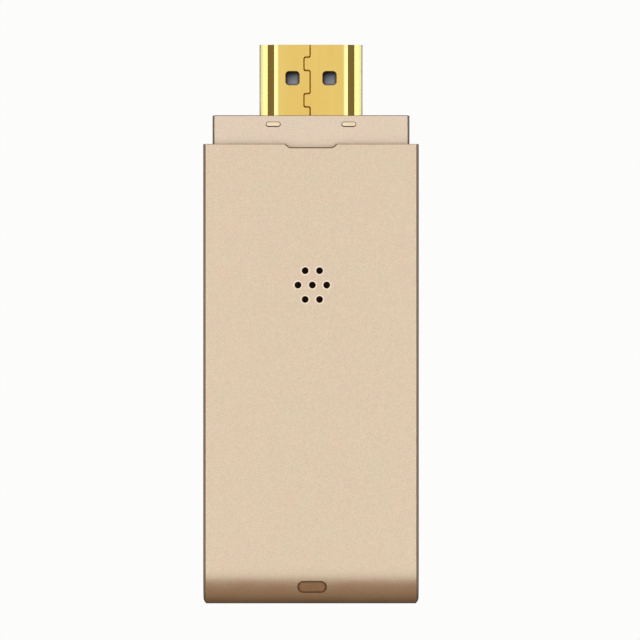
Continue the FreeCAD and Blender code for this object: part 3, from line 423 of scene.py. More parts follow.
@dataclass(frozen=True)
class Laminate(Finish):
    """Solder-masked glass laminate, whose copper tracks show through as paler lines.

    The tracks are square rings round the middles of cells.
    """

    cell_mm: float = 1.25
    rings: float = 6.0
    track_band: tuple[float, float] = (0.55, 0.65)
    track_colour: str = "#3f7a5a"

    def tone(self, tree: bpy.types.NodeTree, place: Socket) -> Socket:
        """The mask's own tone, with tracks that turn at square corners.

        Args:
            tree: The material's tree.
            place: The point on the piece.

        Returns:
            The colour there.
        """
        cells = add_node(
            tree,
            "ShaderNodeTexVoronoi",
            {"Vector": place, "Scale": 1 / (self.cell_mm * MM)},
            distance="CHEBYCHEV",
            feature="F1",
        ).outputs["Distance"]
        rings = add_node(tree, "ShaderNodeMath", (cells, self.rings), operation="MULTIPLY").outputs[0]
        wave = add_node(tree, "ShaderNodeMath", (rings, 1.0), operation="PINGPONG").outputs[0]
        track = add_node(tree, "ShaderNodeMapRange", (wave, *self.track_band, *RISING)).outputs[0]
        layers = {0: track, FIRST: super().tone(tree, place), SECOND: linear(self.track_colour)}
        return add_node(tree, "ShaderNodeMix", layers, data_type="RGBA").outputs[2]


# Fine pearl flakes in clear lacquer: the eye sees champagne with a fine, faintly pink and green
# grain where light falls square on it, and bare brown where it curves away.
CASING_PAINT = FlakePaint(
    "sprayed_champagne_paint",
    "#d2c3af",
    "#cfc4ae",
    mottle_mm=3.0,
    roughness=(0.38, 0.44),
    grain_mm=0.12,
    relief_mm=0.004,
    metallic=0.85,
    coat=0.8,
    coat_roughness=0.33,
    coat_ior=1.6,
    edge_tint="#1c0a02",
)
# The same paint, slightly pinker, and lighter as painted light that offsets the cover's shadow on the
# collar.
LIGHTENED_COLLAR_PAINT = replace(
    CASING_PAINT, name="sprayed_rose_champagne_paint", colour="#d5c7b7", second="#d2c7b5"
)
# The button's face lies deep in the curved end, so its paint is the casing's champagne darkened to a
# plain brown as painted shade.
SHADED_BUTTON_PAINT = FlakePaint(
    "sprayed_brown_champagne_paint",
    "#b39877",
    "#ad9475",
    roughness=(0.4, 0.46),
    grain_mm=0.12,
    relief_mm=0.004,
    metallic=0.85,
    edge_tint="#1c0a02",
)
# A painted highlight on the rounded rims of the vents: a pale ring.
HIGHLIGHT_RIM = Finish(
    "rubbed_champagne_rim",
    "#f4e8d8",
    "#efe2d0",
    mottle_mm=0.5,
    roughness=(0.42, 0.5),
    grain_mm=0.1,
)
# Painted shade: a warm brown on the rims of the notch and of the collar's windows, drawn as a fine dark
# line.
SHADE_EDGE = Finish(
    "bare_brown_polycarbonate",
    "#5f4631",
    "#553e2a",
    mottle_mm=0.5,
    roughness=(0.5, 0.6),
    grain_mm=0.08,
)
# Painted shade on the button's rounded edge: a brown with a little shine.
BUTTON_SHADE_EDGE = replace(
    SHADE_EDGE,
    name="thinly_sprayed_edge",
    colour="#866445",
    second="#7b5a3c",
    roughness=(0.45, 0.55),
)
# Cut edges of the plug's sheet along the seam as bare brass, whose dull brown also stands in as painted
# shade in the seam and on the latch holes' rims.
SHEARED_EDGE_AND_SHADE = Finish(
    "sheared_brass_edge",
    "#bb8d2c",
    "#ab8028",
    mottle_mm=0.4,
    roughness=(0.45, 0.6),
    grain_mm=0.05,
)
# Moulded in the paint's own shade and left bare: paler and chalkier than the paint beside it.
PALE_MOULDING = Finish(
    "moulded_cream_polycarbonate", "#e9dcc2", "#e4d6bb", roughness=(0.45, 0.55), grain_mm=0.08
)
# Thin gold over nickel on stamped strip: mirror bright, with faint rolling marks along the plug.
# Its bends carry painted highlights and its sides painted shade.
GOLD_PLATING = PaintedCrownLight(
    "plated_gold_shell",
    "#f0dc82",
    "#eed77b",
    mottle_mm=1.5,
    roughness=(0.07, 0.11),
    smudge_mm=2.0,
    metallic=1.0,
    grain_mm=0.08,
    relief_mm=0.0003,
    stretch=(1.0, 12.0, 1.0),
)
# Thicker gold on the rubbed ends: redder and a little duller.
CONTACT_GOLD = Finish(
    "plated_gold_contacts",
    "#f0c45a",
    "#e8b850",
    mottle_mm=0.6,
    roughness=(0.18, 0.28),
    metallic=1.0,
    grain_mm=0.05,
    relief_mm=0.0005,
)
# Glass-filled black polyamide: a soft blue-grey bloom over near black.
DARK_MOULDING = Finish(
    "moulded_black_polyamide",
    "#2c3038",
    "#373b42",
    mottle_mm=0.8,
    roughness=(0.42, 0.6),
    grain_mm=0.06,
    relief_mm=0.003,
)
# The moulding on the pocket floors under the latch holes: near black painted shade, with painted light
# that is greyer and paler down the slope.
SHADED_POCKET_MOULDING = SlopedPocketShade(
    "rubbed_black_polyamide",
    "#15161a",
    "#1b1c20",
    mottle_mm=0.8,
    roughness=(0.5, 0.62),
    grain_mm=0.06,
    relief_mm=0.003,
)
# Green mask over woven glass: glossy, with tracks as paler squared lines.
BOARD_LAMINATE = Laminate(
    "masked_green_laminate",
    "#1d4a35",
    "#1f5039",
    roughness=(0.22, 0.3),
    grain_mm=0.3,
    relief_mm=0.004,
)
# The radio's small board has a darker, bluer mask and finer tracks.
RADIO_LAMINATE = replace(
    BOARD_LAMINATE,
    name="masked_blue_laminate",
    colour="#1b3355",
    second="#1e385c",
    cell_mm=0.875,
    track_colour="#39567f",
)
# Zinc-plated steel: bluish bright, with a faint yellow cast in places.
SCREW_STEEL = Finish(
    "plated_zinc_steel", "#c3c6c8", "#cbc7b4", mottle_mm=0.7, roughness=(0.25, 0.38), metallic=1.0
)
# Bright tin over pressed steel: soft grey reflections with rolling marks.
CAN_STEEL = Finish(
    "tinned_pressed_steel",
    "#b9b9b6",
    "#aeaeac",
    mottle_mm=1.2,
    roughness=(0.28, 0.4),
    metallic=1.0,
    grain_mm=0.1,
    relief_mm=0.0008,
    stretch=(1.0, 8.0, 1.0),
)
# Rolled stainless spring strip: bright and cold.
SPRING_STEEL = Finish(
    "rolled_stainless_spring",
    "#c8c7c3",
    "#bfbebb",
    mottle_mm=0.5,
    roughness=(0.18, 0.26),
    metallic=1.0,
    grain_mm=0.05,
    relief_mm=0.0004,
    stretch=(8.0, 1.0, 1.0),
)
# Filled epoxy from a spark-eroded mould: matt near black with a fine even grain.
CHIP_RESIN = Finish(
    "moulded_epoxy_resin", "#232427", "#2a2b2d", roughness=(0.5, 0.62), grain_mm=0.05, relief_mm=0.004
)
# Pressed and fired ferrite: dull grey, with a sandy face.
FERRITE = Finish(
    "pressed_ferrite", "#4c4a49", "#42403f", mottle_mm=0.5, roughness=(0.6, 0.75), relief_mm=0.006
)
# Yellow moulded epoxy round a capacitor.
BULK_RESIN = Finish(
    "moulded_yellow_epoxy", "#c79a3d", "#bf9238", roughness=(0.4, 0.5), grain_mm=0.07, relief_mm=0.003
)
# Fired ceramic: matt tan, faintly speckled.
CERAMIC = Finish(
    "fired_tan_ceramic", "#b0926b", "#a4865f", mottle_mm=0.25, roughness=(0.5, 0.65), grain_mm=0.05
)
# Overglaze on a film resistor: smooth black.
RESISTOR_GLAZE = Finish(
    "glazed_black_film", "#17181a", "#202123", mottle_mm=0.3, roughness=(0.25, 0.35), grain_mm=0.1
)
# Woven polyester wires, dyed black: a matt cloth that swallows light.
MESH_CLOTH = Finish(
    "woven_black_polyester", "#1b0b03", "#241208", mottle_mm=0.4, roughness=(0.6, 0.75), grain_mm=0.03
)
# Filled silicone sheet: pale blue-grey and waxy.
THERMAL_RUBBER = Finish(
    "cast_silicone_rubber", "#93a2b4", "#8897ab", mottle_mm=1.0, roughness=(0.6, 0.7), grain_mm=0.15
)
# Extruded and black anodised aluminium: dark satin with drawing lines along the fins.
SINK_ALUMINIUM = Finish(
    "black_anodised_aluminium",
    "#1d1d1f",
    "#252527",
    mottle_mm=1.5,
    roughness=(0.34, 0.44),
    metallic=0.6,
    grain_mm=0.06,
    relief_mm=0.001,
    stretch=(1.0, 20.0, 1.0),
)
# Solder on the end caps of small parts: bright grey and slightly lumpy.
END_SOLDER = Finish(
    "reflowed_tin_solder", "#c6c6c4", "#bcbcba", mottle_mm=0.2, roughness=(0.25, 0.4), metallic=1.0
)

SLOT_FINISHES: dict[Slot, Finish] = {
    Slot.CASING: CASING_PAINT,
    Slot.COLLAR: LIGHTENED_COLLAR_PAINT,
    Slot.BUTTON: SHADED_BUTTON_PAINT,
    Slot.PALE: PALE_MOULDING,
    Slot.GOLD: GOLD_PLATING,
    Slot.CONTACT: CONTACT_GOLD,
    Slot.DARK: DARK_MOULDING,
    Slot.BOARD: BOARD_LAMINATE,
    Slot.RADIO: RADIO_LAMINATE,
    Slot.SCREW: SCREW_STEEL,
    Slot.CAN: CAN_STEEL,
    Slot.SPRING: SPRING_STEEL,
    Slot.CHIP: CHIP_RESIN,
    Slot.FERRITE: FERRITE,
    Slot.BULK: BULK_RESIN,
    Slot.CERAMIC: CERAMIC,
    Slot.RESISTOR: RESISTOR_GLAZE,
    Slot.MESH: MESH_CLOTH,
    Slot.THERMAL: THERMAL_RUBBER,
    Slot.SINK: SINK_ALUMINIUM,
}


# Shapes


def merged(node: str) -> bmesh.types.BMesh:
    """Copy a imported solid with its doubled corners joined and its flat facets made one.

    Args:
        node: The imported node's name.

    Returns:
        The closed copy, which the caller frees.
    """
    shape = bmesh.new()
    shape.from_mesh(bpy.data.objects[node].data)
    bmesh.ops.remove_doubles(shape, verts=shape.verts, dist=WELD)
    bmesh.ops.dissolve_limit(shape, angle_limit=FLAT, verts=shape.verts, edges=shape.edges)
    return shape


def soften(
    shape: bmesh.types.BMesh,
    radius_mm: float,
    wanted: Callable[[Vector], bool] | None = None,
    steps: int = 2,
    finish_place: int = -1,
) -> None:
    """Round the sharp edges of a shape.

    Args:
        shape: The shape, changed in place.
        radius_mm: The rounding's radius.
        wanted: Picks edges by their middle point, all with room for the whole radius. None
            rounds every sharp edge, as far as each has room.
        steps: The rounding's segments.
        finish_place: Which of the piece's finishes the rounding takes. -1 takes its neighbour's.
    """
    sharp = [
        edge
        for edge in shape.edges
        if edge.is_manifold
        and edge.calc_face_angle() > SHARP
        and (wanted is None or wanted((edge.verts[0].co + edge.verts[1].co) / 2))
    ]
    bmesh.ops.bevel(
        shape,
        geom=sharp,
        offset=radius_mm * MM,
        segments=steps,
        profile=0.5,
        affect="EDGES",
        clamp_overlap=wanted is None,
        material=finish_place,
    )


def resized(vertices: Sequence[bmesh.types.BMVert], shares: tuple[float, float]) -> None:
    """Scale a group of vertices in X and Y about the middle of their own box.

    Args:
        vertices: The vertices to move.
        shares: The new size over the old one, in X and in Y.
    """
    for axis, share in enumerate(shares):
        places = [vertex.co[axis] for vertex in vertices]
        middle = (min(places) + max(places)) / 2
        for vertex in vertices:
            vertex.co[axis] = middle + (vertex.co[axis] - middle) * share


def blocks(*corners: tuple[Sequence[float], Sequence[float]]) -> bmesh.types.BMesh:
    """Blocks between pairs of corners, as a start for a worked shape.

    Args:
        *corners: The lowest and the highest corner of each block.

    Returns:
        The shape with all the blocks.
    """
    shape = bmesh.new()
    for low, high in corners:
        size = [b - a for a, b in zip(low, high)]
        middle = [(a + b) / 2 for a, b in zip(low, high)]
        matrix = Matrix.Translation(middle) @ Matrix.Diagonal((*size, 1.0))
        bmesh.ops.create_cube(shape, size=1.0, matrix=matrix)
    return shape


def swept_shape(
    outline: Sequence[tuple[float, float]], across: tuple[float, float], axis: int
) -> bmesh.types.BMesh:
    """A flat outline given a thickness.

    Args:
        outline: The corners, in the two directions other than the axis, in rising order.
        across: Where the thickness starts and ends.
        axis: The thickness's direction, 0 for X, 1 for Y or 2 for Z.

    Returns:
        The closed shape, with its faces outwards.
    """
    shape = bmesh.new()
    rings = []
    for level in across:
        ring = []
        for pair in outline:
            point = list(pair)
            point.insert(axis, level)
            ring.append(shape.verts.new(point))
        rings.append(ring)
    count = len(outline)
    for ring in rings:
        shape.faces.new(ring)
    for index in range(count):
        after = (index + 1) % count
        shape.faces.new((rings[0][index], rings[0][after], rings[1][after], rings[1][index]))
    bmesh.ops.recalc_face_normals(shape, faces=shape.faces)
    return shape


def steepened(depth: float, marks_mm: tuple[float, float], share: float) -> float:
    """Find a point's new depth in a rounding that gets steep up to a mark and tight past it."""
    old, new = (mark * MM for mark in marks_mm)
    return depth * new / old if depth < old else new + (depth - old) * share


def as_object(shape: bmesh.types.BMesh, name: str) -> bpy.types.Object:
    """Turn a worked shape to a smooth-shaded object in the scene, and free the shape.

    Welding can leave slivers that hang from an edge of two other faces, and they are deleted.

    Args:
        shape: The worked shape.
        name: The object's name.

    Returns:
        The new object.
    """
    bmesh.ops.remove_doubles(shape, verts=shape.verts, dist=WELD)
    slivers = [
        face
        for face in shape.faces
        if any(edge.is_boundary for edge in face.edges)
        and any(len(edge.link_faces) > 2 for edge in face.edges)
    ]
    bmesh.ops.delete(shape, geom=slivers, context="FACES")
    for face in shape.faces:
        face.smooth = True
    for edge in shape.edges:
        edge.smooth = not (edge.is_manifold and edge.calc_face_angle() > SHARP)
    mesh = bpy.data.meshes.new(name)
    shape.to_mesh(mesh)
    shape.free()
    item = bpy.data.objects.new(name, mesh)
    bpy.context.scene.collection.objects.link(item)
    return item


def settled(item: bpy.types.Object) -> bpy.types.Object:
    """Turn an object's modifiers into its mesh and remove them.

    Args:
        item: The object, changed in place.

    Returns:
        The same object.
    """
    graph = bpy.context.evaluated_depsgraph_get()
    mesh = bpy.data.meshes.new_from_object(
        item.evaluated_get(graph), preserve_all_data_layers=True, depsgraph=graph
    )
    mesh.name = item.name
    item.modifiers.clear()
    item.data = mesh
    return item


def flat_weighted(item: bpy.types.Object) -> bpy.types.Object:
    """Let the large faces set the shading, so that only the roundings look round.

    Args:
        item: The object, changed in place.

    Returns:
        The same object.
    """
    modifier = item.modifiers.new("normals", "WEIGHTED_NORMAL")
    modifier.keep_sharp = True
    return settled(item)


def round_shaded(
    item: bpy.types.Object, axis: tuple[float, float], radius: float, reach: float
) -> bpy.types.Object:
    """Give a face that curves about a line along X the exact shading of a cylinder.

    Args:
        item: The piece.
        axis: Where the line lies in Y and Z.
        radius: The cylinder's radius.
        reach: The Y below which the face curves.

    Returns:
        The same piece.
    """
    mesh = item.data
    slack = 0.02 * MM
    shading = [Vector(corner.vector) for corner in mesh.corner_normals]
    for face in mesh.polygons:
        for corner in face.loop_indices:
            point = mesh.vertices[mesh.loops[corner].vertex_index].co
            out = Vector((0.0, point.y - axis[0], point.z - axis[1]))
            if point.y < reach and abs(out.length - radius) < slack:
                if face.normal.dot(out.normalized()) > math.cos(SHARP):
                    shading[corner] = out.normalized()
    mesh.normals_split_custom_set(shading)
    return item


@dataclass
class Growth:
    """A Geometry Nodes tree that repeats a small shape, with a named input for each size."""

    name: str
    tree: bpy.types.NodeTree = field(init=False)
    inlet: bpy.types.Node = field(init=False)
    sockets: dict[str, str] = field(init=False, default_factory=dict)

    def __post_init__(self) -> None:
        """Start the tree with a way in and a way out for the shape."""
        self.tree = bpy.data.node_groups.new(self.name, "GeometryNodeTree")
        sides = (("INPUT", "Shape"), ("OUTPUT", "Pieces"))
        for side, label in sides:
            self.tree.interface.new_socket(label, in_out=side, socket_type="NodeSocketGeometry")
        self.inlet = add_node(self.tree, "NodeGroupInput")

    def size(self, label: str, kind: str = "Float") -> Socket:
        """Add a named input.

        Args:
            label: The input's name.
            kind: The kind of its socket, in Blender's words.

        Returns:
            The socket that carries it into the tree.
        """
        made = self.tree.interface.new_socket(
            label, in_out="INPUT", socket_type=f"NodeSocket{kind}"
        )
        self.sockets[label] = made.identifier
        return self.inlet.outputs[label]

    def close(self, pieces: Socket) -> None:
        """End the tree: real geometry in the finish of the material input.

        Args:
            pieces: The socket with the repeated pieces.
        """
        finish = self.size("Finish", "Material")
        real = add_node(self.tree, "GeometryNodeRealizeInstances", (pieces,))
        dressed = add_node(
            self.tree, "GeometryNodeSetMaterial", {"Geometry": real.outputs[0], "Material": finish}
        )
        add_node(self.tree, "NodeGroupOutput", (dressed.outputs[0],))

    def grow(self, item: bpy.types.Object, sizes: Mapping[str, Any]) -> bpy.types.Object:
        """Run the tree on an object.

        Args:
            item: The object whose mesh is repeated.
            sizes: A value for each named input.

        Returns:
            The same object with the result as its mesh.
        """
        modifier = item.modifiers.new(self.name, "NODES")
        modifier.node_group = self.tree
        for label, value in sizes.items():
            modifier[self.sockets[label]] = value
        return settled(item)


def grid_growth() -> Growth:
    """Build a tree that sets copies of a shape out on a straight grid about a middle point.

    Returns:
        The tree.
    """
    growth = Growth("grid_of_pieces")
    tree = growth.tree
    columns, rows = growth.size("Columns", "Int"), growth.size("Rows", "Int")
    pitch_x, pitch_y = growth.size("Pitch X"), growth.size("Pitch Y")
    middle = growth.size("Middle", "Vector")
    spans = []
    for count, pitch in ((columns, pitch_x), (rows, pitch_y)):
        gaps = add_node(tree, "ShaderNodeMath", (count, 1.0), operation="SUBTRACT").outputs[0]
        span = add_node(tree, "ShaderNodeMath", (gaps, pitch), operation="MULTIPLY").outputs[0]
        spans.append(span)
    grid = add_node(tree, "GeometryNodeMeshGrid", (*spans, columns, rows))
    placed = add_node(
        tree, "GeometryNodeTransform", {"Geometry": grid.outputs[0], "Translation": middle}
    )
    copies = add_node(
        tree,
        "GeometryNodeInstanceOnPoints",
        {"Points": placed.outputs[0], "Instance": growth.inlet.outputs["Shape"]},
    )
    growth.close(copies.outputs[0])
    return growth


def row_growth() -> Growth:
    """Build a tree that sets copies of a shape out in a row from a first place.

    Returns:
        The tree.
    """
    growth = Growth("row_of_pieces")
    count = growth.size("Count", "Int")
    first, step = growth.size("First", "Vector"), growth.size("Step", "Vector")
    line = add_node(
        growth.tree,
        "GeometryNodeMeshLine",
        {"Count": count, "Start Location": first, "Offset": step},
        mode="OFFSET",
    )
    copies = add_node(
        growth.tree,
        "GeometryNodeInstanceOnPoints",
        {"Points": line.outputs[0], "Instance": growth.inlet.outputs["Shape"]},
    )
    growth.close(copies.outputs[0])
    return growth


def weave_growth() -> Growth:
    """Build a tree that weaves round wires over and under each other in both directions.

    Returns:
        The tree.
    """
    growth = Growth("woven_wires")
    tree = growth.tree
    count, pitch = growth.size("Wires", "Int"), growth.size("Pitch")
    thickness, centre = growth.size("Wire radius"), growth.size("Middle", "Vector")
    steps = add_node(tree, "ShaderNodeMath", (count, 1.0), operation="SUBTRACT").outputs[0]
    length = add_node(tree, "ShaderNodeMath", (count, pitch), operation="MULTIPLY").outputs[0]
    span = add_node(tree, "ShaderNodeMath", (steps, pitch), operation="MULTIPLY").outputs[0]
    side = add_node(tree, "ShaderNodeMath", (span, -0.5), operation="MULTIPLY").outputs[0]
    ends = []
    for share in (-0.5, 0.5):
        along = add_node(tree, "ShaderNodeMath", (length, share), operation="MULTIPLY").outputs[0]
        ends.append(add_node(tree, "ShaderNodeCombineXYZ", (along, 0.0, 0.0)).outputs[0])
    wire = add_node(tree, "GeometryNodeCurvePrimitiveLine", {"Start": ends[0], "End": ends[1]})
    twice = add_node(tree, "ShaderNodeMath", (count, 2.0), operation="MULTIPLY").outputs[0]
    points = add_node(tree, "ShaderNodeMath", (twice, 1.0), operation="ADD").outputs[0]
    fine = add_node(tree, "GeometryNodeResampleCurve", {"Curve": wire.outputs[0], "Count": points})
    first = add_node(tree, "ShaderNodeCombineXYZ", (0.0, side, 0.0)).outputs[0]
    step = add_node(tree, "ShaderNodeCombineXYZ", (0.0, pitch, 0.0)).outputs[0]
    line = add_node(
        tree,
        "GeometryNodeMeshLine",
        {"Count": count, "Start Location": first, "Offset": step},
        mode="OFFSET",
    )
    row = add_node(
        tree,
        "GeometryNodeInstanceOnPoints",
        {"Points": line.outputs[0], "Instance": fine.outputs[0]},
    )
    real = add_node(tree, "GeometryNodeRealizeInstances", (row.outputs[0],)).outputs[0]
    place = add_node(tree, "GeometryNodeInputPosition").outputs[0]
    parts = add_node(tree, "ShaderNodeSeparateXYZ", (place,)).outputs
    waves = []
    for part, way in ((parts[0], "COSINE"), (parts[1], "SINE")):
        turns = add_node(tree, "ShaderNodeMath", (part, pitch), operation="DIVIDE").outputs[0]
        angle = add_node(tree, "ShaderNodeMath", (turns, math.pi), operation="MULTIPLY").outputs[0]
        waves.append(add_node(tree, "ShaderNodeMath", (angle,), operation=way).outputs[0])
    wave = add_node(tree, "ShaderNodeMath", waves, operation="MULTIPLY").outputs[0]
    lift = add_node(tree, "ShaderNodeMath", (wave, thickness), operation="MULTIPLY").outputs[0]
    shift = add_node(tree, "ShaderNodeCombineXYZ", (0.0, 0.0, lift)).outputs[0]
    waved = add_node(tree, "GeometryNodeSetPosition", {"Geometry": real, "Offset": shift})
    # A wire is thinner than a pixel, so four sides are enough.
    ring = add_node(tree, "GeometryNodeCurvePrimitiveCircle", {"Resolution": 4, "Radius": thickness})
    tubes = add_node(
        tree,
        "GeometryNodeCurveToMesh",
        {"Curve": waved.outputs[0], "Profile Curve": ring.outputs[0], "Fill Caps": True},
    ).outputs[0]
    turned = add_node(
        tree,
        "GeometryNodeTransform",
        {"Geometry": tubes, "Rotation": (math.pi, 0.0, math.pi / 2)},
    ).outputs[0]
    both = add_node(tree, "GeometryNodeJoinGeometry")
    for layer in (tubes, turned):
        tree.links.new(layer, both.inputs[0])
    placed = add_node(
        tree, "GeometryNodeTransform", {"Geometry": both.outputs[0], "Translation": centre}
    )
    growth.close(placed.outputs[0])
    return growth


class Pattern(Enum):
    """The ways in which small parts repeat."""

    ROW = "row"
    GRID = "grid"
    WEAVE = "weave"

    @cache
    def growth(self) -> Growth:
        """Build the tree for this way of repeating, once for all its pieces."""
        return {"row": row_growth, "grid": grid_growth, "weave": weave_growth}[self.value]()


# Pieces


def issue(
    piece: bpy.types.Object,
    slot: Slot,
    node: str,
    body: Body = Body.ADAPTER,
    finish: Finish | None = None,
    rims: Sequence[Finish] = (),
) -> bpy.types.Object:
    """Dress a finished piece and tie it to the frame.

    Args:
        piece: The piece, in place.
        slot: The record's finish that it takes.
        node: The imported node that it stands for.
        body: The body that it rides on.
        finish: Its material, where that isn't the slot's own.
        rims: The finishes of its marked faces, in the order of their places from 1.

    Returns:
        The piece.
    """
    if not rims:
        piece.data.materials.clear()
    for layer in (finish or SLOT_FINISHES[slot], *rims):
        piece.data.materials.append(layer.material())
    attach(piece, body.value)
    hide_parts(node)
    LOG.info("%s: %d faces, for %s", piece.name, len(piece.data.polygons), node)
    return piece


@dataclass
class Assembly:
    """Pieces that are built and dressed together."""

    def rounded(
        self,
        node: str,
        name: str,
        slot: Slot,
        radius_mm: float,
        steps: int = 2,
        body: Body = Body.ADAPTER,
    ) -> bpy.types.Object:
        """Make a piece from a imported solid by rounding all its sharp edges.

        Args:
            node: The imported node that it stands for.
            name: The piece's name.
            slot: The record's finish that it takes.
            radius_mm: The rounding's radius.
            steps: The rounding's segments.
            body: The body that it rides on.

        Returns:
            The piece, dressed and tied to the frame.
        """
        shape = merged(node)
        soften(shape, radius_mm, steps=steps)
        return issue(flat_weighted(as_object(shape, name)), slot, node, body)

    def row(
        self,
        shape: bmesh.types.BMesh,
        name: str,
        slot: Slot,
        node: str,
        count: int,
        first: tuple[float, float, float],
        step: tuple[float, float, float],
    ) -> None:
        """Make a piece from a small shape that repeats in a straight row.

        Args:
            shape: The shape, which is freed.
            name: The piece's name.
            slot: The record's finish that it takes.
            node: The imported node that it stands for.
            count: How many there are.
            first: Where the first one's origin goes.
            step: The way from each to the next.
        """
        finish = SLOT_FINISHES[slot].material()
        sizes = {"Count": count, "First": first, "Step": step, "Finish": finish}
        grown = Pattern.ROW.growth().grow(as_object(shape, name), sizes)
        issue(flat_weighted(grown), slot, node)

    def build(self) -> None:
        """Build and dress every piece."""
        raise NotImplementedError


@dataclass
class Casing(Assembly):
    """The two covers, the collar round the plug and the mesh behind the vents."""

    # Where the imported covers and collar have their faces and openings.
    face_mm: float = 10.5
    middle_mm: float = 5.25
    half_width_mm: float = 14.55
    end_centre_mm: float = -32.525
    collar_half_mm: tuple[float, float] = (13.3, 4.0)
    vent_reach_mm: float = 3.0
    notch_half_mm: float = 3.6
    notch_depth_mm: float = 0.45
    notch_floor_mm: float = 8.9
    window_start_mm: float = 3.5
    window_length_mm: float = 2.0
    window_reach_mm: float = 0.3
    # How far an edge may be from the outside, and from the height where the covers meet.
    skin_mm: float = 0.1
    parting_reach_mm: float = 0.05
    # The roundings that are added.
    rim_mm: float = 0.05
    vent_rim_mm: float = 0.18
    notch_rim_mm: float = 0.14
    notch_bend_mm: float = 0.25
    parting_rim_mm: float = 0.1
    window_rim_mm: float = 0.03
    collar_rim_mm: float = 0.03
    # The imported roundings, and the marks and shares by which they are tightened.
    bend_mm: float = 0.8
    bend_marks_mm: tuple[float, float] = (0.376, 0.28)
    bend_share: float = 0.3
    collar_bend_mm: float = 0.35
    collar_marks_mm: tuple[float, float] = (0.165, 0.23)
    collar_reach: float = 2.4
    front_rim_mm: float = 0.36
    front_share: float = 0.3
    # The openings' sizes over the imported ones, in X and in Y.
    notch_share: tuple[float, float] = (0.965, 1.0)
    window_share: tuple[float, float] = (0.95, 0.9)
    # The mesh.
    wire_radius_mm: float = 0.03
    wire_pitch_mm: float = 0.16

    def build(self) -> None:
        """Build and dress the casing's pieces."""
        self.cover("vented_cover", "vented_shell")
        self.cover("plain_cover", "plain_shell")
        self.collar()
        self.mesh_square()

    def cover(self, node: str, name: str) -> None:
        """One half of the casing, with its vents, openings and parting line rounded.

        Args:
            node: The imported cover.
            name: The piece's name.
        """
        shape = merged(node)
        self.tighten(shape)
        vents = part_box("dust_mesh")
        spot = (vents[0] + vents[1]) / 2
        reach, face = self.vent_reach_mm * MM, (self.face_mm - self.skin_mm) * MM
        side = (self.half_width_mm - self.skin_mm) * MM
        mouth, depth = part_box(node)[1].y, self.notch_depth_mm * MM

        def round_a_vent(point: Vector) -> bool:
            """Whether a point lies on a vent's rim."""
            near = abs(point.x - spot.x) < reach and abs(point.y - spot.y) < reach
            return near and point.z > face

        def at_the_parting(point: Vector) -> bool:
            """Whether a point lies on the outside, where the covers meet."""
            level = abs(point.z - self.middle_mm * MM) < self.parting_reach_mm * MM
            return level and abs(point.x) > side

        def in_the_notch(point: Vector) -> bool:
            """Whether a point lies as far across and along as the notch."""
            return abs(point.x) < self.notch_half_mm * MM and point.y > mouth - depth - NEAR

        def round_the_notch(point: Vector) -> bool:
            """Whether a point lies on the notch's rim, behind the mouth."""
            return in_the_notch(point) and point.y < mouth - NEAR and point.z > face

        if node == "vented_cover":
            bottom = self.notch_floor_mm * MM
            notch = [v for v in shape.verts if in_the_notch(v.co) and v.co.z > bottom]
            resized(notch, self.notch_share)
            corner = min(abs(vertex.co.x) for vertex in notch)

            def at_a_corner(point: Vector) -> bool:
                """Whether a point lies on one of the notch's two inner corners."""
                across = abs(abs(point.x) - corner) < NEAR
                return across and abs(point.y - mouth + depth) < NEAR

            soften(shape, self.notch_bend_mm, at_a_corner, FINE)
        # The notch's rim takes painted shade.
        soften(shape, self.notch_rim_mm, round_the_notch, FINE, 2)
        # The vents' rims take a painted highlight.
        soften(shape, self.vent_rim_mm, round_a_vent, FINE, 1)
        soften(shape, self.parting_rim_mm, at_the_parting, FINE)
        soften(shape, self.rim_mm)
        piece = flat_weighted(as_object(shape, name))
        radius, end = self.middle_mm * MM, self.end_centre_mm * MM
        round_shaded(piece, (end, radius), radius, end)
        issue(piece, Slot.CASING, node, rims=(HIGHLIGHT_RIM, SHADE_EDGE))

    def tighten(self, shape: bmesh.types.BMesh) -> None:
        """Make the rounding of the casing's long edges steep outside and tight at the top.

        Args:
            shape: A cover, changed in place.
        """
        end, middle, half = self.end_centre_mm * MM, self.middle_mm * MM, self.half_width_mm * MM
        bend = self.bend_mm * MM + WELD
        for vertex in shape.verts:
            across, along, up = vertex.co
            depth = half - abs(across)
            drop = middle - math.hypot(min(along - end, 0.0), up - middle)
            if WELD < depth < bend and drop < bend:
                depth = steepened(depth, self.bend_marks_mm, self.bend_share)
                vertex.co.x = math.copysign(half - depth, across)

    def tighten_collar(self, shape: bmesh.types.BMesh) -> None:
        """Do the same for the collar's long edges, whose rounding also reaches further down.

        Args:
            shape: The collar, changed in place.
        """
        middle, bend = self.middle_mm * MM, self.collar_bend_mm * MM + WELD
        half_width, half_height = (half * MM for half in self.collar_half_mm)
        for vertex in shape.verts:
            across, _, up = vertex.co
            depth, drop = half_width - abs(across), half_height - abs(up - middle)
            if depth < bend and -WELD < drop < bend:
                depth = steepened(depth, self.collar_marks_mm, self.bend_share)
                drop *= self.collar_reach
                vertex.co.x = math.copysign(half_width - depth, across)
                vertex.co.z = middle + math.copysign(half_height - drop, up - middle)

    def collar(self) -> None:
        """The collar, with a tight front edge and fine edges in painted shade round its two windows."""
        shape = merged("nose_collar")
        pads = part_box("plug_cradle_upper")[1]
        slack = self.window_reach_mm * MM
        back = pads.y - self.window_length_mm * MM

        def round_a_window(point: Vector) -> bool:
            """Whether a point lies on a window's rim, level with the tops of the pads."""
            level, along = abs(point.z - pads.z) < slack, back < point.y < pads.y + slack
            return level and along and abs(point.x) > self.window_start_mm * MM

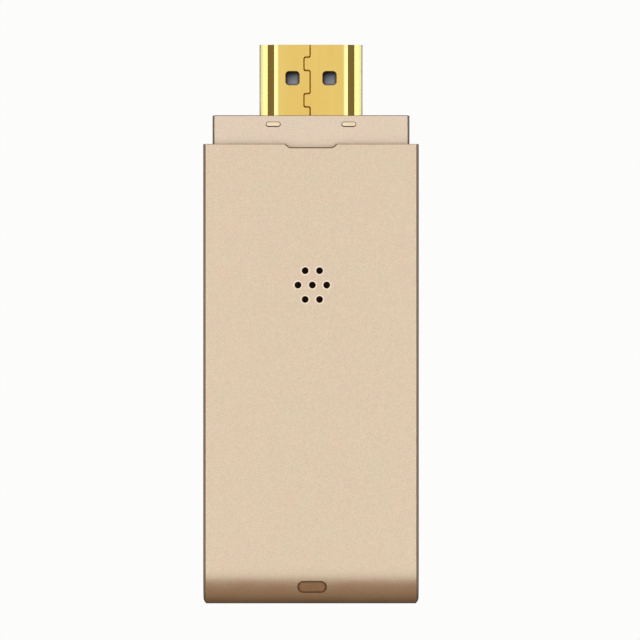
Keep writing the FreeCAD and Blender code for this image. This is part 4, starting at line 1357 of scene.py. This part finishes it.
        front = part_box("nose_collar")[1].y
        for vertex in shape.verts:
            depth = front - vertex.co.y
            if depth < self.front_rim_mm * MM:
                vertex.co.y = front - depth * self.front_share
        self.tighten_collar(shape)
        for side in (-1, 1):
            rim = [v for v in shape.verts if round_a_window(v.co) and v.co.x * side > 0]
            resized(rim, self.window_share)
        # The windows' rims take painted shade.
        soften(shape, self.window_rim_mm, round_a_window, FINE, 1)
        soften(shape, self.collar_rim_mm)
        piece = flat_weighted(as_object(shape, "front_collar"))
        issue(piece, Slot.COLLAR, "nose_collar", rims=(SHADE_EDGE,))

    def mesh_square(self) -> None:
        """The woven square behind the vents."""
        low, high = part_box("dust_mesh")
        side = high.x - low.x
        wires = round(side / (self.wire_pitch_mm * MM))
        sizes = {
            "Wires": wires,
            "Pitch": side / wires,
            "Wire radius": self.wire_radius_mm * MM,
            "Middle": (low + high) / 2,
            "Finish": MESH_CLOTH.material(),
        }
        piece = Pattern.WEAVE.growth().grow(as_object(bmesh.new(), "vent_weave"), sizes)
        issue(piece, Slot.MESH, "dust_mesh")


@dataclass
class Plug(Assembly):
    """The gold sleeve, its moulding, its two rows of contacts and the cradles that hold it."""

    # The sleeve, its seam and its latch holes.
    sheet_mm: float = 0.25
    sheet_rim_mm: float = 0.05
    seam_reach_mm: float = 1.5
    seam_rim_mm: float = 0.075
    seam_lean_mm: float = 0.045
    latch_spacing_mm: float = 5.0
    hole_reach_mm: float = 1.0
    hole_rim_mm: float = 0.03
    # The moulding and the sloping floors of its pockets.
    moulding_rim_mm: float = 0.05
    pocket_depth_mm: float = 0.45
    lean_across: float = 0.12
    lean_down: float = 0.26
    # The cradles, and the pads of the upper one.
    cradle_rim_mm: float = 0.08
    pad_share: tuple[float, float] = (0.95, 0.84)
    pad_shift_mm: float = 0.04
    # The contacts, whose leans are parts of their gauge.
    contact_width_mm: float = 0.35
    contact_gauge_mm: float = 0.2
    contact_rim_mm: float = 0.03
    contact_pitch_mm: float = 1.0
    contact_foot_mm: float = 1.4
    contact_nose_mm: float = 0.35
    contact_bow_mm: float = 1.2
    contact_dip_mm: float = 0.12
    tip_lean: float = 0.3
    nose_lean: float = 0.4
    upper_count: int = 10
    lower_count: int = 9

    def build(self) -> None:
        """Build and dress the plug's pieces."""
        self.sleeve()
        self.moulding()
        self.upper_cradle()
        self.rounded("plug_cradle_lower", "lower_cradle", Slot.PALE, self.cradle_rim_mm, FINE)
        self.contacts("plug_contacts_upper", "upper_contacts", self.upper_count, 1)
        self.contacts("plug_contacts_lower", "lower_contacts", self.lower_count, -1)

    def sleeve(self) -> None:
        """The folded sleeve, with the two edges that meet along its seam chamfered."""
        shape = merged("plug_shell")
        low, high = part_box("plug_shell")
        middle, skin = (low + high) / 2, high.z - self.sheet_mm * MM
        side, reach = self.latch_spacing_mm / 2 * MM, self.hole_reach_mm * MM

        def along_the_seam(point: Vector) -> bool:
            """Whether a point lies on the seam, away from the sleeve's two ends."""
            inside = low.y + NEAR < point.y < high.y - NEAR
            return inside and abs(point.x - middle.x) < self.seam_reach_mm * MM and point.z > skin

        def round_a_hole(point: Vector) -> bool:
            """Whether a point lies on the outer rim of a latch hole."""
            beside = abs(abs(point.x) - side) < reach and low.y + reach < point.y < high.y - reach
            return beside and point.z > high.z - NEAR

        # The seam's walls take the brass brown, which also stands in as painted shade in the seam.
        for face in shape.faces:
            if abs(face.normal.z) < UPRIGHT and along_the_seam(face.calc_center_median()):
                face.material_index = 1
        self.close_the_seam(shape, high.z - self.sheet_mm / 2 * MM)
        soften(shape, self.seam_rim_mm, along_the_seam, 1, 1)
        # The latch holes' rims take the same brown as painted shade.
        soften(shape, self.hole_rim_mm, round_a_hole, 2, 1)
        soften(shape, self.sheet_rim_mm)
        piece = flat_weighted(as_object(shape, "gold_sleeve"))
        issue(piece, Slot.GOLD, "plug_shell", rims=(SHEARED_EDGE_AND_SHADE,))

    def close_the_seam(self, shape: bmesh.types.BMesh, level: float) -> None:
        """Lean the seam's two walls together, so that they nearly meet at the sheet's underside.

        Args:
            shape: The sleeve, with the seam's walls marked.
            level: Half-way down the sheet.
        """
        moves = {}
        for vertex in shape.verts:
            walls = [face.normal for face in vertex.link_faces if face.material_index == 1]
            if walls and vertex.co.z < level:
                way = sum(walls, Vector()).normalized()
                moves[vertex] = way * self.seam_lean_mm * MM
        for vertex, move in moves.items():
            vertex.co += move

    def upper_cradle(self) -> None:
        """The upper cradle, whose two pads stand off-centre in the collar's windows."""
        shape = merged("plug_cradle_upper")
        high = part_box("plug_cradle_upper")[1]
        for side in (-1, 1):
            pad = [v for v in shape.verts if v.co.z > high.z - NEAR and v.co.x * side > 0]
            resized(pad, self.pad_share)
            for vertex in pad:
                vertex.co.y += self.pad_shift_mm * MM
        soften(shape, self.cradle_rim_mm, steps=FINE)
        piece = flat_weighted(as_object(shape, "upper_cradle"))
        issue(piece, Slot.PALE, "plug_cradle_upper")

    def moulding(self) -> None:
        """The dark block inside the sleeve, with a sloping floor in painted light and shade under each
        latch hole.
        """
        shape = merged("plug_insulator")
        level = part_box("plug_insulator")[1].z - self.pocket_depth_mm * MM
        tilts = []
        for face in shape.faces:
            spot = face.calc_center_median()
            # The pocket floors take the painted light and shade.
            if face.normal.z > LEVEL and abs(spot.z - level) < NEAR:
                face.material_index = 1
                side = math.copysign(self.latch_spacing_mm / 2 * MM, spot.x)
                for vertex in face.verts:
                    across, down = vertex.co.x - side, spot.y - vertex.co.y
                    tilts.append((vertex, across * self.lean_across + down * self.lean_down))
        for vertex, lift in tilts:
            vertex.co.z += lift
        soften(shape, self.moulding_rim_mm)
        piece = flat_weighted(as_object(shape, "plug_moulding"))
        issue(piece, Slot.DARK, "plug_insulator", rims=(SHADED_POCKET_MOULDING,))

    def contacts(self, node: str, name: str, count: int, side: int) -> None:
        """One row of contacts: a strip each, with a bent foot, a bowed middle and a turned tip.

        Args:
            node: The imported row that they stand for.
            name: The row's name.
            count: How many there are.
            side: 1 above the middle, -1 below.
        """
        low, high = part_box(node)
        gauge, foot = self.contact_gauge_mm * MM, self.contact_foot_mm * MM
        nose, bow = self.contact_nose_mm * MM, self.contact_bow_mm * MM
        outer, inner = (high.z, low.z) if side > 0 else (low.z, high.z)
        depth = self.contact_dip_mm * MM * side
        top = [
            (low.y, inner + gauge * side),
            (low.y + foot - gauge, inner + gauge * side),
            (low.y + foot, outer),
            (high.y - nose - 3 * bow, outer),
            (high.y - nose - 2 * bow, outer - depth),
            (high.y - nose - bow, outer),
            (high.y - nose, outer),
            (high.y, outer - gauge * side),
        ]
        under = [
            (high.y - gauge * self.tip_lean, outer - 2 * gauge * side),
            (high.y - nose - gauge * self.nose_lean, outer - gauge * side),
            (high.y - nose - bow, outer - gauge * side),
            (high.y - nose - 2 * bow, outer - depth - gauge * side),
            (high.y - nose - 3 * bow, outer - gauge * side),
            (low.y + foot + gauge, outer - gauge * side),
            (low.y + foot, inner),
            (low.y, inner),
        ]
        half, pitch = self.contact_width_mm * MM / 2, self.contact_pitch_mm * MM
        shape = swept_shape(top + under, (-half, half), 0)
        soften(shape, self.contact_rim_mm)
        start = (-pitch * (count - 1) / 2, 0.0, 0.0)
        self.row(shape, name, Slot.CONTACT, node, count, start, (pitch, 0.0, 0.0))


@dataclass
class Cooling(Assembly):
    """The soft pad on the processor and the finned plate over it."""

    pad_rim_mm: float = 0.1
    plate_mm: float = 0.8
    plate_rim_mm: float = 0.08
    fin_count: int = 9
    fin_thickness_mm: float = 0.8
    fin_rim_mm: float = 0.12

    def build(self) -> None:
        """Build and dress the pad and the heat sink."""
        self.rounded("thermal_pad", "soft_pad", Slot.THERMAL, self.pad_rim_mm)
        low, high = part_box("heat_sink")
        plate = blocks((low, (high.x, high.y, low.z + self.plate_mm * MM)))
        soften(plate, self.plate_rim_mm)
        issue(flat_weighted(as_object(plate, "sink_plate")), Slot.SINK, "heat_sink")
        thickness = self.fin_thickness_mm * MM
        root = (low.x, low.y, low.z + self.plate_mm * MM / 2)
        fin = blocks((root, (low.x + thickness, high.y, high.z)))
        soften(fin, self.fin_rim_mm, steps=FINE)
        step = ((high.x - low.x - thickness) / (self.fin_count - 1), 0.0, 0.0)
        start = (0.0, 0.0, 0.0)
        self.row(fin, "sink_fins", Slot.SINK, "heat_sink", self.fin_count, start, step)


@dataclass
class MainBoard(Assembly):
    """The circuit board, its chips, its power parts and its screws."""

    board_rim_mm: float = 0.03
    chip_rim_mm: float = 0.06
    coil_rim_mm: float = 0.25
    store_rim_mm: float = 0.1
    clock_rim_mm: float = 0.2
    screw_rim_mm: float = 0.06
    # The small soldered parts. Their end caps reach a little into their bodies.
    small_mm: tuple[float, float] = (1.0, 0.5)
    body_rim_mm: float = 0.03
    body_inset_mm: float = 0.02
    cap_rim_mm: float = 0.05
    cap_share: float = 0.22
    cap_clear: float = 0.9
    capacitor_counts: tuple[int, int] = (2, 6)
    resistor_counts: tuple[int, int] = (7, 1)

    def build(self) -> None:
        """Build and dress the board's pieces."""
        self.rounded("main_board", "green_board", Slot.BOARD, self.board_rim_mm)
        for node, name in (
            ("processor", "main_chip"),
            ("memory_chip", "memory_block"),
            ("flash_chip", "storage_chip"),
            ("surge_arrays", "guard_chips"),
            ("buck_regulators", "converter_chips"),
        ):
            self.rounded(node, name, Slot.CHIP, self.chip_rim_mm)
        self.rounded("buck_inductors", "power_coils", Slot.FERRITE, self.coil_rim_mm, FINE)
        self.rounded("bulk_capacitors", "power_stores", Slot.BULK, self.store_rim_mm)
        self.rounded("quartz_crystals", "clock_cans", Slot.CAN, self.clock_rim_mm, FINE)
        self.rounded("board_screws", "pan_screws", Slot.SCREW, self.screw_rim_mm)
        counts = self.capacitor_counts
        self.small_parts("ceramic_capacitors", "tiny_capacitors", Slot.CERAMIC, 0, counts)
        counts = self.resistor_counts
        self.small_parts("chip_resistors", "tiny_resistors", Slot.RESISTOR, 1, counts)

    def small_parts(
        self, node: str, name: str, slot: Slot, length_axis: int, counts: tuple[int, int]
    ) -> None:
        """A grid of small soldered parts, each a body between two bright end caps.

        Args:
            node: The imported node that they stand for.
            name: The pieces' name, which the end caps' name adds to.
            slot: The bodies' finish.
            length_axis: The direction from cap to cap, 0 for X or 1 for Y.
            counts: How many there are along X and Y.
        """
        low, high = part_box(node)
        length, width = (side * MM for side in self.small_mm)
        size = (length, width) if length_axis == 0 else (width, length)
        pitches = [
            (high[axis] - low[axis] - size[axis]) / max(counts[axis] - 1, 1) for axis in (0, 1)
        ]
        cap, inset = length * self.cap_share, self.body_inset_mm * MM
        start = [-size[0] / 2, -size[1] / 2, low.z]
        end = [size[0] / 2, size[1] / 2, high.z]
        near_end, far_start = list(end), list(start)
        near_end[length_axis] = start[length_axis] + cap
        far_start[length_axis] = end[length_axis] - cap
        caps = blocks((start, near_end), (far_start, end))
        for corner, sign in ((start, 1), (end, -1)):
            corner[length_axis] += sign * cap * self.cap_clear
            corner[1 - length_axis] += sign * inset
        end[2] -= inset
        body = blocks((start, end))
        for shape, radius_mm, label, finish in (
            (body, self.body_rim_mm, name, SLOT_FINISHES[slot]),
            (caps, self.cap_rim_mm, f"{name}_caps", END_SOLDER),
        ):
            soften(shape, radius_mm)
            sizes = {
                "Columns": counts[0],
                "Rows": counts[1],
                "Pitch X": pitches[0],
                "Pitch Y": pitches[1],
                "Middle": ((low.x + high.x) / 2, (low.y + high.y) / 2, 0.0),
                "Finish": finish.material(),
            }
            grown = Pattern.GRID.growth().grow(as_object(shape, label), sizes)
            issue(flat_weighted(grown), slot, node, finish=finish)


@dataclass
class Radio(Assembly):
    """The radio's own board, its screened chip and its antenna."""

    board_rim_mm: float = 0.03
    chip_rim_mm: float = 0.06
    can_rim_mm: float = 0.15

    def build(self) -> None:
        """Build and dress the radio's pieces."""
        self.rounded("radio_board", "blue_board", Slot.RADIO, self.board_rim_mm)
        self.rounded("radio_chip", "radio_block", Slot.CHIP, self.chip_rim_mm)
        self.rounded("radio_can", "screening_can", Slot.CAN, self.can_rim_mm, FINE)
        self.rounded("chip_antenna", "antenna_block", Slot.CERAMIC, self.chip_rim_mm)


@dataclass
class PowerSocket(Assembly):
    """The power socket in the side wall: its sleeve, its tongue and its strips."""

    rim_mm: float = 0.06
    strip_count: int = 5
    strip_width_mm: float = 0.3
    strip_pitch_mm: float = 0.65
    strip_gauge_mm: float = 0.12
    strip_foot_mm: float = 0.5
    strip_rim_mm: float = 0.02

    def build(self) -> None:
        """Build and dress the socket's pieces."""
        self.rounded("socket_shell", "socket_sleeve", Slot.CAN, self.rim_mm)
        self.rounded("socket_tongue", "socket_bar", Slot.DARK, self.rim_mm)
        self.strips()

    def strips(self) -> None:
        """The strips under the tongue, each bent down to its foot on the board."""
        low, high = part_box("socket_contacts")
        gauge, heel = self.strip_gauge_mm * MM, high.x - self.strip_foot_mm * MM
        outline = [
            (low.x, high.z),
            (heel, high.z),
            (heel, low.z + gauge),
            (high.x, low.z + gauge),
            (high.x, low.z),
            (heel - gauge, low.z),
            (heel - gauge, high.z - gauge),
            (low.x, high.z - gauge),
        ]
        half, pitch = self.strip_width_mm * MM / 2, self.strip_pitch_mm * MM
        shape = swept_shape(outline, (-half, half), 1)
        soften(shape, self.strip_rim_mm)
        start = (0.0, (low.y + high.y) / 2 - pitch * (self.strip_count - 1) / 2, 0.0)
        step = (0.0, pitch, 0.0)
        self.row(
            shape, "socket_strips", Slot.CONTACT, "socket_contacts", self.strip_count, start, step
        )


@dataclass
class ModeButton(Assembly):
    """The button in the curved end and the switch under it."""

    # The pill, whose upper part is the face.
    rim_mm: float = 0.3
    rim_steps: int = 4
    skirt_rim_mm: float = 0.05
    pill_width_mm: float = 1.43
    face_reach_mm: float = 1.2
    foot_mm: float = 0.8
    face_share: tuple[float, float] = (1.026, 1.035)
    face_shift_mm: float = 0.02
    # The switch.
    stem_rim_mm: float = 0.06
    cup_rim_mm: float = 0.05
    sheet_rim_mm: float = 0.03
    dome_rim_mm: float = 0.01
    dome_travel_mm: float = 0.2

    def build(self) -> None:
        """Build and dress the button's and the switch's pieces."""
        self.button()
        self.rounded(
            "switch_plunger", "switch_stem", Slot.DARK, self.stem_rim_mm, FINE, Body.PLUNGER
        )
        self.rounded("switch_base", "switch_cup", Slot.DARK, self.cup_rim_mm)
        self.rounded("switch_frame", "switch_lid", Slot.CAN, self.sheet_rim_mm)
        dome = self.rounded("switch_dome", "snap_dome", Slot.SPRING, self.dome_rim_mm)
        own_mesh(dome)
        self.rounded("switch_terminals", "switch_feet", Slot.CONTACT, self.sheet_rim_mm)

    def button(self) -> None:
        """The pill, whose face has a rounded rim all round in painted shade."""
        shape = merged("mode_button")
        low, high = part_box("mode_button")
        flange = high.z - self.face_reach_mm * MM
        back = low.y + self.pill_width_mm * MM + NEAR

        def round_the_face(point: Vector) -> bool:
            """Whether a point lies on the face, above the flange."""
            return point.z > flange and point.y < back

        face = [v for v in shape.verts if v.co.z > low.z + self.foot_mm * MM]
        resized(face, self.face_share)
        for vertex in face:
            vertex.co.y -= self.face_shift_mm * MM
        # The face's rim takes painted shade.
        soften(shape, self.rim_mm, round_the_face, self.rim_steps, 1)
        soften(shape, self.skirt_rim_mm)
        piece = flat_weighted(as_object(shape, "pill_button"))
        issue(piece, Slot.BUTTON, "mode_button", Body.BUTTON, rims=(BUTTON_SHADE_EDGE,))


# Studio


@dataclass
class Studio:
    """The camera, the pale floor far below the object and the lamps."""

    camera_distance: float = 2000 * MM
    camera_range: tuple[float, float] = (100 * MM, 20000 * MM)
    face_level: float = 10.5 * MM
    view_width: float = 86.37 * MM
    view_x: float = 1.215 * MM
    view_y: float = 0.567 * MM
    sensor: float = 36.0
    floor_drop: float = 450 * MM
    floor_radius: float = 84 * MM
    floor_sides: int = 96
    floor_colour: str = "#f4f3f1"
    floor_glow: float = 0.95
    room_colour: str = "#98714a"
    side_colour: str = "#8a7c6c"
    side_turn: tuple[float, float] = (0.4, 0.8)
    dusk: float = 0.35
    dusk_rise: tuple[float, float] = (-0.8, -0.1)
    lamp_height: float = 300 * MM
    lamp_length: float = 600 * MM
    lens_panel: float = 0.62
    lamp_colour: tuple[float, float, float] = (0.98, 1.03, 1.06)
    lens_reach: float = 50 * MM
    overhead: float = 1.06
    overhead_reach: float = 300 * MM
    wing: float = 1.7
    wing_reach: float = 600 * MM
    glint: float = 3.0
    glint_place: float = 203 * MM
    glint_width: float = 24 * MM
    glint_drop: float = 5 * MM

    def build(self) -> None:
        """Make everything that isn't the object."""
        bpy.context.scene.view_settings.view_transform = "Standard"
        self.camera()
        self.floor()
        self.world()
        self.lamps()

    def camera(self) -> None:
        """A long lens straight above the vented face."""
        data = bpy.data.cameras.new("camera")
        data.sensor_width = self.sensor
        data.lens = self.sensor * self.camera_distance / self.view_width
        data.clip_start, data.clip_end = self.camera_range
        camera = bpy.data.objects.new("camera", data)
        camera.location = (self.view_x, self.view_y, self.face_level + self.camera_distance)
        bpy.context.scene.collection.objects.link(camera)
        bpy.context.scene.camera = camera

    def floor(self) -> None:
        """A pale round floor some way below the object, white wherever it is seen."""
        disc = bmesh.new()
        bmesh.ops.create_circle(
            disc, cap_ends=True, segments=self.floor_sides, radius=self.floor_radius
        )
        for vertex in disc.verts:
            vertex.co.z -= self.floor_drop
        floor = as_object(disc, "floor")
        material = bpy.data.materials.new("pale_floor_card")
        material.use_nodes = True
        tree = material.node_tree
        tree.nodes.clear()
        ray = add_node(tree, "ShaderNodeLightPath").outputs
        seen = ray["Is Camera Ray"]
        for kind in ("Is Glossy Ray", "Is Transmission Ray"):
            seen = add_node(tree, "ShaderNodeMath", (seen, ray[kind]), operation="MAXIMUM").outputs[0]
        pale = add_node(tree, "ShaderNodeBsdfDiffuse", {"Color": linear(self.floor_colour)})
        white = add_node(tree, "ShaderNodeEmission", {"Color": (1, 1, 1, 1), "Strength": 1.0})
        share = add_node(tree, "ShaderNodeMath", (seen, self.floor_glow), operation="MULTIPLY")
        shaders = (share.outputs[0], pale.outputs[0], white.outputs[0])
        both = add_node(tree, "ShaderNodeMixShader", shaders)
        add_node(tree, "ShaderNodeOutputMaterial", {"Surface": both.outputs[0]})
        floor.data.materials.append(material)

    def world(self) -> None:
        """A dim warm room with greyer side walls, darker towards its floor."""
        world = bpy.data.worlds.new("room")
        world.use_nodes = True
        tree = world.node_tree
        tree.nodes.clear()
        ray = add_node(tree, "ShaderNodeTexCoord").outputs["Generated"]
        parts = add_node(tree, "ShaderNodeSeparateXYZ", (ray,)).outputs
        ramp = (parts[2], *self.dusk_rise, self.dusk, 1.0)
        level = add_node(tree, "ShaderNodeMapRange", ramp).outputs[0]
        sideways = add_node(tree, "ShaderNodeMath", (parts[0],), operation="ABSOLUTE").outputs[0]
        share = add_node(tree, "ShaderNodeMapRange", (sideways, *self.side_turn, *RISING)).outputs[0]
        layers = {0: share, FIRST: linear(self.room_colour), SECOND: linear(self.side_colour)}
        walls = add_node(tree, "ShaderNodeMix", layers, data_type="RGBA").outputs[2]
        air = add_node(tree, "ShaderNodeBackground", {"Color": walls, "Strength": level})
        add_node(tree, "ShaderNodeOutputWorld", {"Surface": air.outputs[0]})
        bpy.context.scene.world = world

    def panel(
        self,
        name: str,
        place: Sequence[float],
        target: Sequence[float],
        size: tuple[float, float],
        radiance: float,
    ) -> None:
        """A rectangular lamp that faces a point.

        Args:
            name: The lamp's name.
            place: Its middle.
            target: The point that it faces.
            size: Its two sides.
            radiance: How bright it looks, where 1 is white.
        """
        data = bpy.data.lights.new(name, "AREA")
        data.shape = "RECTANGLE"
        data.size, data.size_y = size
        data.energy = radiance * math.pi * size[0] * size[1]
        data.color = self.lamp_colour
        lamp = bpy.data.objects.new(name, data)
        lamp.location = place
        aim = Vector(target) - Vector(place)
        lamp.rotation_euler = aim.to_track_quat("-Z", "Y").to_euler()
        lamp.visible_camera = False
        bpy.context.scene.collection.objects.link(lamp)

    def lamps(self) -> None:
        """A panel round the lens, and on each side a soft box, a bright wing and a glint strip."""
        height, length = self.lamp_height, self.lamp_length
        inner, outer = self.lens_reach, self.overhead_reach
        self.panel("lens_panel", (0, 0, height), (0, 0, 0), (inner * 2, length), self.lens_panel)
        for label, side in (("left", -1), ("right", 1)):
            for kind, near, far, radiance in (
                ("overhead", inner, outer, self.overhead),
                ("wing", outer, self.wing_reach, self.wing),
            ):
                middle = (near + far) / 2 * side
                size = (far - near, length)
                self.panel(f"{kind}_{label}", (middle, 0, height), (middle, 0, 0), size, radiance)
            spot, under = self.glint_place * side, height - self.glint_drop
            strip = (self.glint_width, length)
            self.panel(f"glint_{label}", (spot, 0, under), (spot, 0, 0), strip, self.glint)


def main() -> None:
    """Build the object's looks and the studio round it."""
    logging.basicConfig(level=logging.INFO, format="%(name)s %(message)s")
    for leftover in list(bpy.data.objects):
        bpy.data.objects.remove(leftover)
    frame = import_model()
    Studio().build()
    for assembly in (Casing(), Plug(), Cooling(), MainBoard(), Radio(), PowerSocket(), ModeButton()):
        assembly.build()
    shown = [name for name, node in frame["nodes"].items() if not node.hide_render]
    LOG.info("nodes still shown: %s", ", ".join(sorted(shown)) or "none")


if __name__ == "__main__":
    main()
